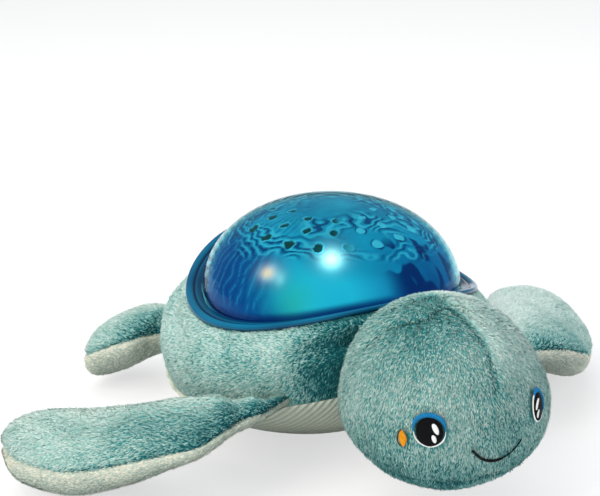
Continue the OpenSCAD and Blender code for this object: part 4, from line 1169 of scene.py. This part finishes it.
# The inner dome starts where it meets the saddle of the rim, found by trying again from each result.
low_climb = np.zeros(mask_columns)
for _ in range(30):
    edge_point = mask_point(mask_turn[0], low_climb, mask_inset)
    wanted = ramped(rim_low(edge_point[:, 1]) + rim_t, rim_z, dome_h - mask_inset)
    low_climb = np.arcsin(wanted ** (dome_power / 2))
mask_climb = low_climb + (math.radians(mask_crown) - low_climb) * mask_share
mask_skin = mask_point(mask_turn, mask_climb, mask_inset)
mask_out = normals_of(mask_skin, np.array([0, 0, rim_z]))
from_middle = mask_skin - np.array([0, 0, rim_z])
rise = from_middle[..., 2]
above_rim = rise - rise[:1]

# Windows: tiers of small holes with raised, uneven lips, made as shallow dents whose dark is painted shade;
# the lips carry painted light, and at the left front the windows read as bright bubbles of painted light.
window_field = np.zeros(mask_skin.shape[:2])
window_waver = 0.16 * wander(mask_skin, 2.2, 60)
for tier_up, tier_count, tier_shift, window_half in window_rows:
    for k in range(tier_count):
        way = 2 * math.pi * (k + tier_shift) / tier_count
        up = math.radians(tier_up)
        axis = ring_point(math.cos(up), way, math.sin(up))
        off = np.linalg.norm(np.cross(from_middle, axis), axis=-1)
        near = (1.5 - off / window_half + window_waver) * (from_middle @ axis > 0)
        window_field = np.maximum(window_field, near)
# Painted shade fills each window's dent and painted light lines its lip.
window_hole = eased(window_field, 0.42, 0.16)
window_lip = eased(window_field, 0.1, 0.2) * (1 - window_hole) * eased(wander(mask_skin, 4, 59), -0.5, 0.6)
bubble = eased(facing(left_front_turn), 0.45, 0.3)
window_rim = window_lip * (1 - bubble) + 0.8 * window_hole * bubble

# Ripples: wandering level lines in a band under the crown, and upright ones down the right flank;
# their dark lines are painted shade and their bright crests painted light.
crest = np.sin(2 * math.pi * rise / ripple_pitch + 7.0 * wander(mask_skin, 11, 61)
               + 3.0 * wander(mask_skin, 4.5, 62))
aside = np.degrees(np.abs(turn_from(white_lamp_turn)))
band = eased(rise, ripple_low - 7 * eased(aside, 12, 58), 4) * (1 - eased(rise, ripple_high, 2))
ripple_share = band * eased(wander(mask_skin, 14, 63), -0.55, 0.7)
upright = np.sin(mask_turn * upright_count + 2.8 * wander(mask_skin, 9, 66))
flank_band = eased(facing(right_flank_turn), 0.8, 0.15) * eased(rise, 6, 8)
# Painted shade in the ripples' dark lines and painted light on their crests.
ripple = 0.85 * np.maximum(ripple_share * eased(crest, 0.3, 0.3), 0.4 * flank_band * eased(upright, 0.4, 0.4))
ripple_crest = 0.7 * np.maximum(ripple_share * eased(-crest, 0.55, 0.25),
                                0.45 * flank_band * eased(-upright, 0.85, 0.15))

# Painted shade: streaks of navy at the left front, a dark foot all round and a deep blue right flank.
stretch = wander(mask_skin * np.array([1, 1, 0.4]), 5.5, 64)
streaks = eased(facing(left_front_turn), 0.8, 0.12) * eased(stretch - 0.026 * (rise - 14), -0.4, 0.16)
navy_painted_shade = np.maximum(0.92 * streaks * (1 - eased(rise, 40, 6)), 0.85 * (1 - eased(above_rim, 0.5, 4.5)))
flank_painted_shade = 0.9 * eased(facing(right_flank_turn - 2), 0.74, 0.16) * (1 - eased(rise, 33, 9))

# Painted light: the lamps' white, warm, cyan and green glows on the inner dome.
white_light = painted_lamp_glow(white_lamp_turn, 39, 8, 5) + 0.4 * painted_lamp_glow(warm_lamp_turn + 8, 29, 4, 4)
cyan_light = np.clip(1.3 * painted_lamp_glow(white_lamp_turn - 3, 24, 29, 16), 0, 1) * (1 - navy_painted_shade)
mask_fields = {
    "flank_painted_shade": flank_painted_shade, "navy_painted_shade": navy_painted_shade, "cyan_light": cyan_light,
    "green_light": 0.6 * painted_lamp_glow(white_lamp_turn - 17, 20, 10, 10),
    "warm_light": 0.9 * painted_lamp_glow(warm_lamp_turn, 30.5, 7, 4.5),
    "white_light": np.clip(white_light, 0, 1),
    "ripple": np.maximum(ripple, window_lip * bubble), "ripple_crest": ripple_crest,
    "window_rim": window_rim, "window": window_hole * (1 - bubble),
}
relief = 0.3 * crest * np.maximum(band, 0.1) + 0.35 * window_rim - 0.6 * window_hole
outer_skin = mask_skin + mask_out * relief[..., None]
inner_skin = mask_point(mask_turn, mask_climb, mask_inset + mask_thick)
mask_quads, mask_corners = skin_faces(outer_skin)
mask_total = mask_rows * mask_columns
foot_ring = np.arange(mask_columns)
foot_next = np.roll(foot_ring, -1)
mask_foot = np.stack([foot_ring, foot_next, foot_next + mask_total, foot_ring + mask_total], -1)
crown = foot_ring + (mask_rows - 1) * mask_columns
mask_faces = [mask_quads, mask_quads + mask_total, mask_foot, crown[None], (crown + mask_total)[None, ::-1]]
edge_corners = np.zeros((mask_foot.size + 2 * mask_columns, 2))
ripple_dome = build("ripple_dome", np.stack([outer_skin, inner_skin]), mask_faces,
                    np.concatenate([mask_corners, mask_corners, edge_corners]))
for field_name, field in mask_fields.items():
    set_field(ripple_dome.data, field_name, np.stack([field, np.zeros_like(field)]))
ripple_dome.data.materials.append(painted_glow_ripple())
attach(ripple_dome, "housing")
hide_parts("fish_mask")

# Works and controls: moulded plastic, plated steel, brass, circuit boards and wrapped cells inside the tub.
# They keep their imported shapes; each gets the finish of its real material.
# A row gives the pieces, the finish's name, its two tones, roughness, metallic and grain in millimetres.
works_table = [
    # Moulded satin plastic reads as an even, soft off-white.
    (["tub", "battery_door", "chassis_plate", "led_post"], "satin_abs", "d9dcd8", "e6e8e4", 0.45, 0.0, 1.2),
    # Acetal gears look waxy and cream.
    (["motor_pinion", "idler_gear", "drum_gear"], "acetal", "e6e0cc", "f1ecdb", 0.38, 0.0, 2.0),
    # Polished acrylic is smooth, pale and shiny.
    (["wave_drum"], "clear_acrylic", "cfe9f1", "e4f5f8", 0.08, 0.0, 8.0),
    # Silicone buttons are matt and nearly white.
    (["light_button", "sound_button", "volume_button"],
     "soft_touch_silicone", "dfe6e4", "eef3f1", 0.6, 0.0, 1.0),
    # Filled black epoxy and pressed paper show a dull charcoal.
    (["drum_clip", "sound_chip", "tact_switches", "speaker_cone"],
     "black_epoxy", "1a1a1c", "2a2a2d", 0.55, 0.0, 0.8),
    # Zinc plating gives a cool, slightly cloudy metal.
    (["rim_screws", "battery_door_screw", "board_screws", "chassis_screws", "motor_screws", "motor_shaft",
      "idler_pin", "contact_springs", "motor", "speaker_frame", "speaker_magnet"],
     "zinc_plated_steel", "a9adb0", "c8cbcd", 0.32, 1.0, 1.5),
    # Stamped brass is bright and yellow.
    (["contact_plates"], "plated_brass", "c79f45", "e0bf6c", 0.3, 1.0, 1.5),
    # A shrunk printed film has a coppery gloss.
    (["battery_1", "battery_2", "battery_3"], "printed_cell_wrap", "a8752a", "c8923c", 0.35, 0.0, 4.0),
    # Solder mask is a glassy green coat, and white round the lamps.
    (["main_board", "button_board"], "solder_mask", "1a5a33", "24703f", 0.35, 0.0, 1.6),
    (["led_board", "wire_sockets"], "white_solder_mask", "e2dfd4", "f2f0e8", 0.45, 0.0, 1.6),
    # Shrunk PVC is a smooth dark blue.
    (["capacitors"], "pvc_sleeve", "2c3a60", "3c4c78", 0.4, 0.0, 2.5),
    # Cast epoxy lamps are shiny, milky or amber.
    (["white_leds"], "clear_epoxy_lamp", "f0efe6", "fbfaf4", 0.1, 0.0, 1.5),
    (["amber_leds"], "amber_epoxy_lamp", "e09424", "f0b04a", 0.1, 0.0, 1.5),
]


def works_finish(name, deep, pale, rough, metallic, grain):
    """A works material: two close tones and a roughness that vary over grain, in millimetres."""
    material, tree = new_material(name)
    place = add(tree, "TexCoord").outputs["Object"]
    cloud = add(tree, "TexNoise", {"Vector": place, "Scale": 1 / (grain * mm), "Detail": 2.0})
    tone = add(tree, "ValToRGB", {"Fac": cloud.outputs["Fac"]}, [(0.35, deep), (0.65, pale)])
    worn = add(tree, "MapRange", {"Value": cloud.outputs["Fac"], "To Min": rough * 0.8,
                                  "To Max": rough * 1.2})
    bump = add(tree, "Bump", {"Height": cloud.outputs["Fac"], "Strength": 0.08, "Distance": 0.1 * mm})
    surface = add(tree, "BsdfPrincipled", {"Base Color": tone.outputs["Color"], "Roughness": worn.outputs[0],
                                           "Metallic": metallic, "Normal": bump.outputs[0]})
    add(tree, "OutputMaterial", {"Surface": surface.outputs[0]})
    return material


for works_nodes, *finish in works_table:
    works_material = works_finish(*finish)
    for works_node in works_nodes:
        coat(works_node, works_material)
for rim_node in ["control_panel", "control_base"]:
    coat(rim_node, rim_abs)
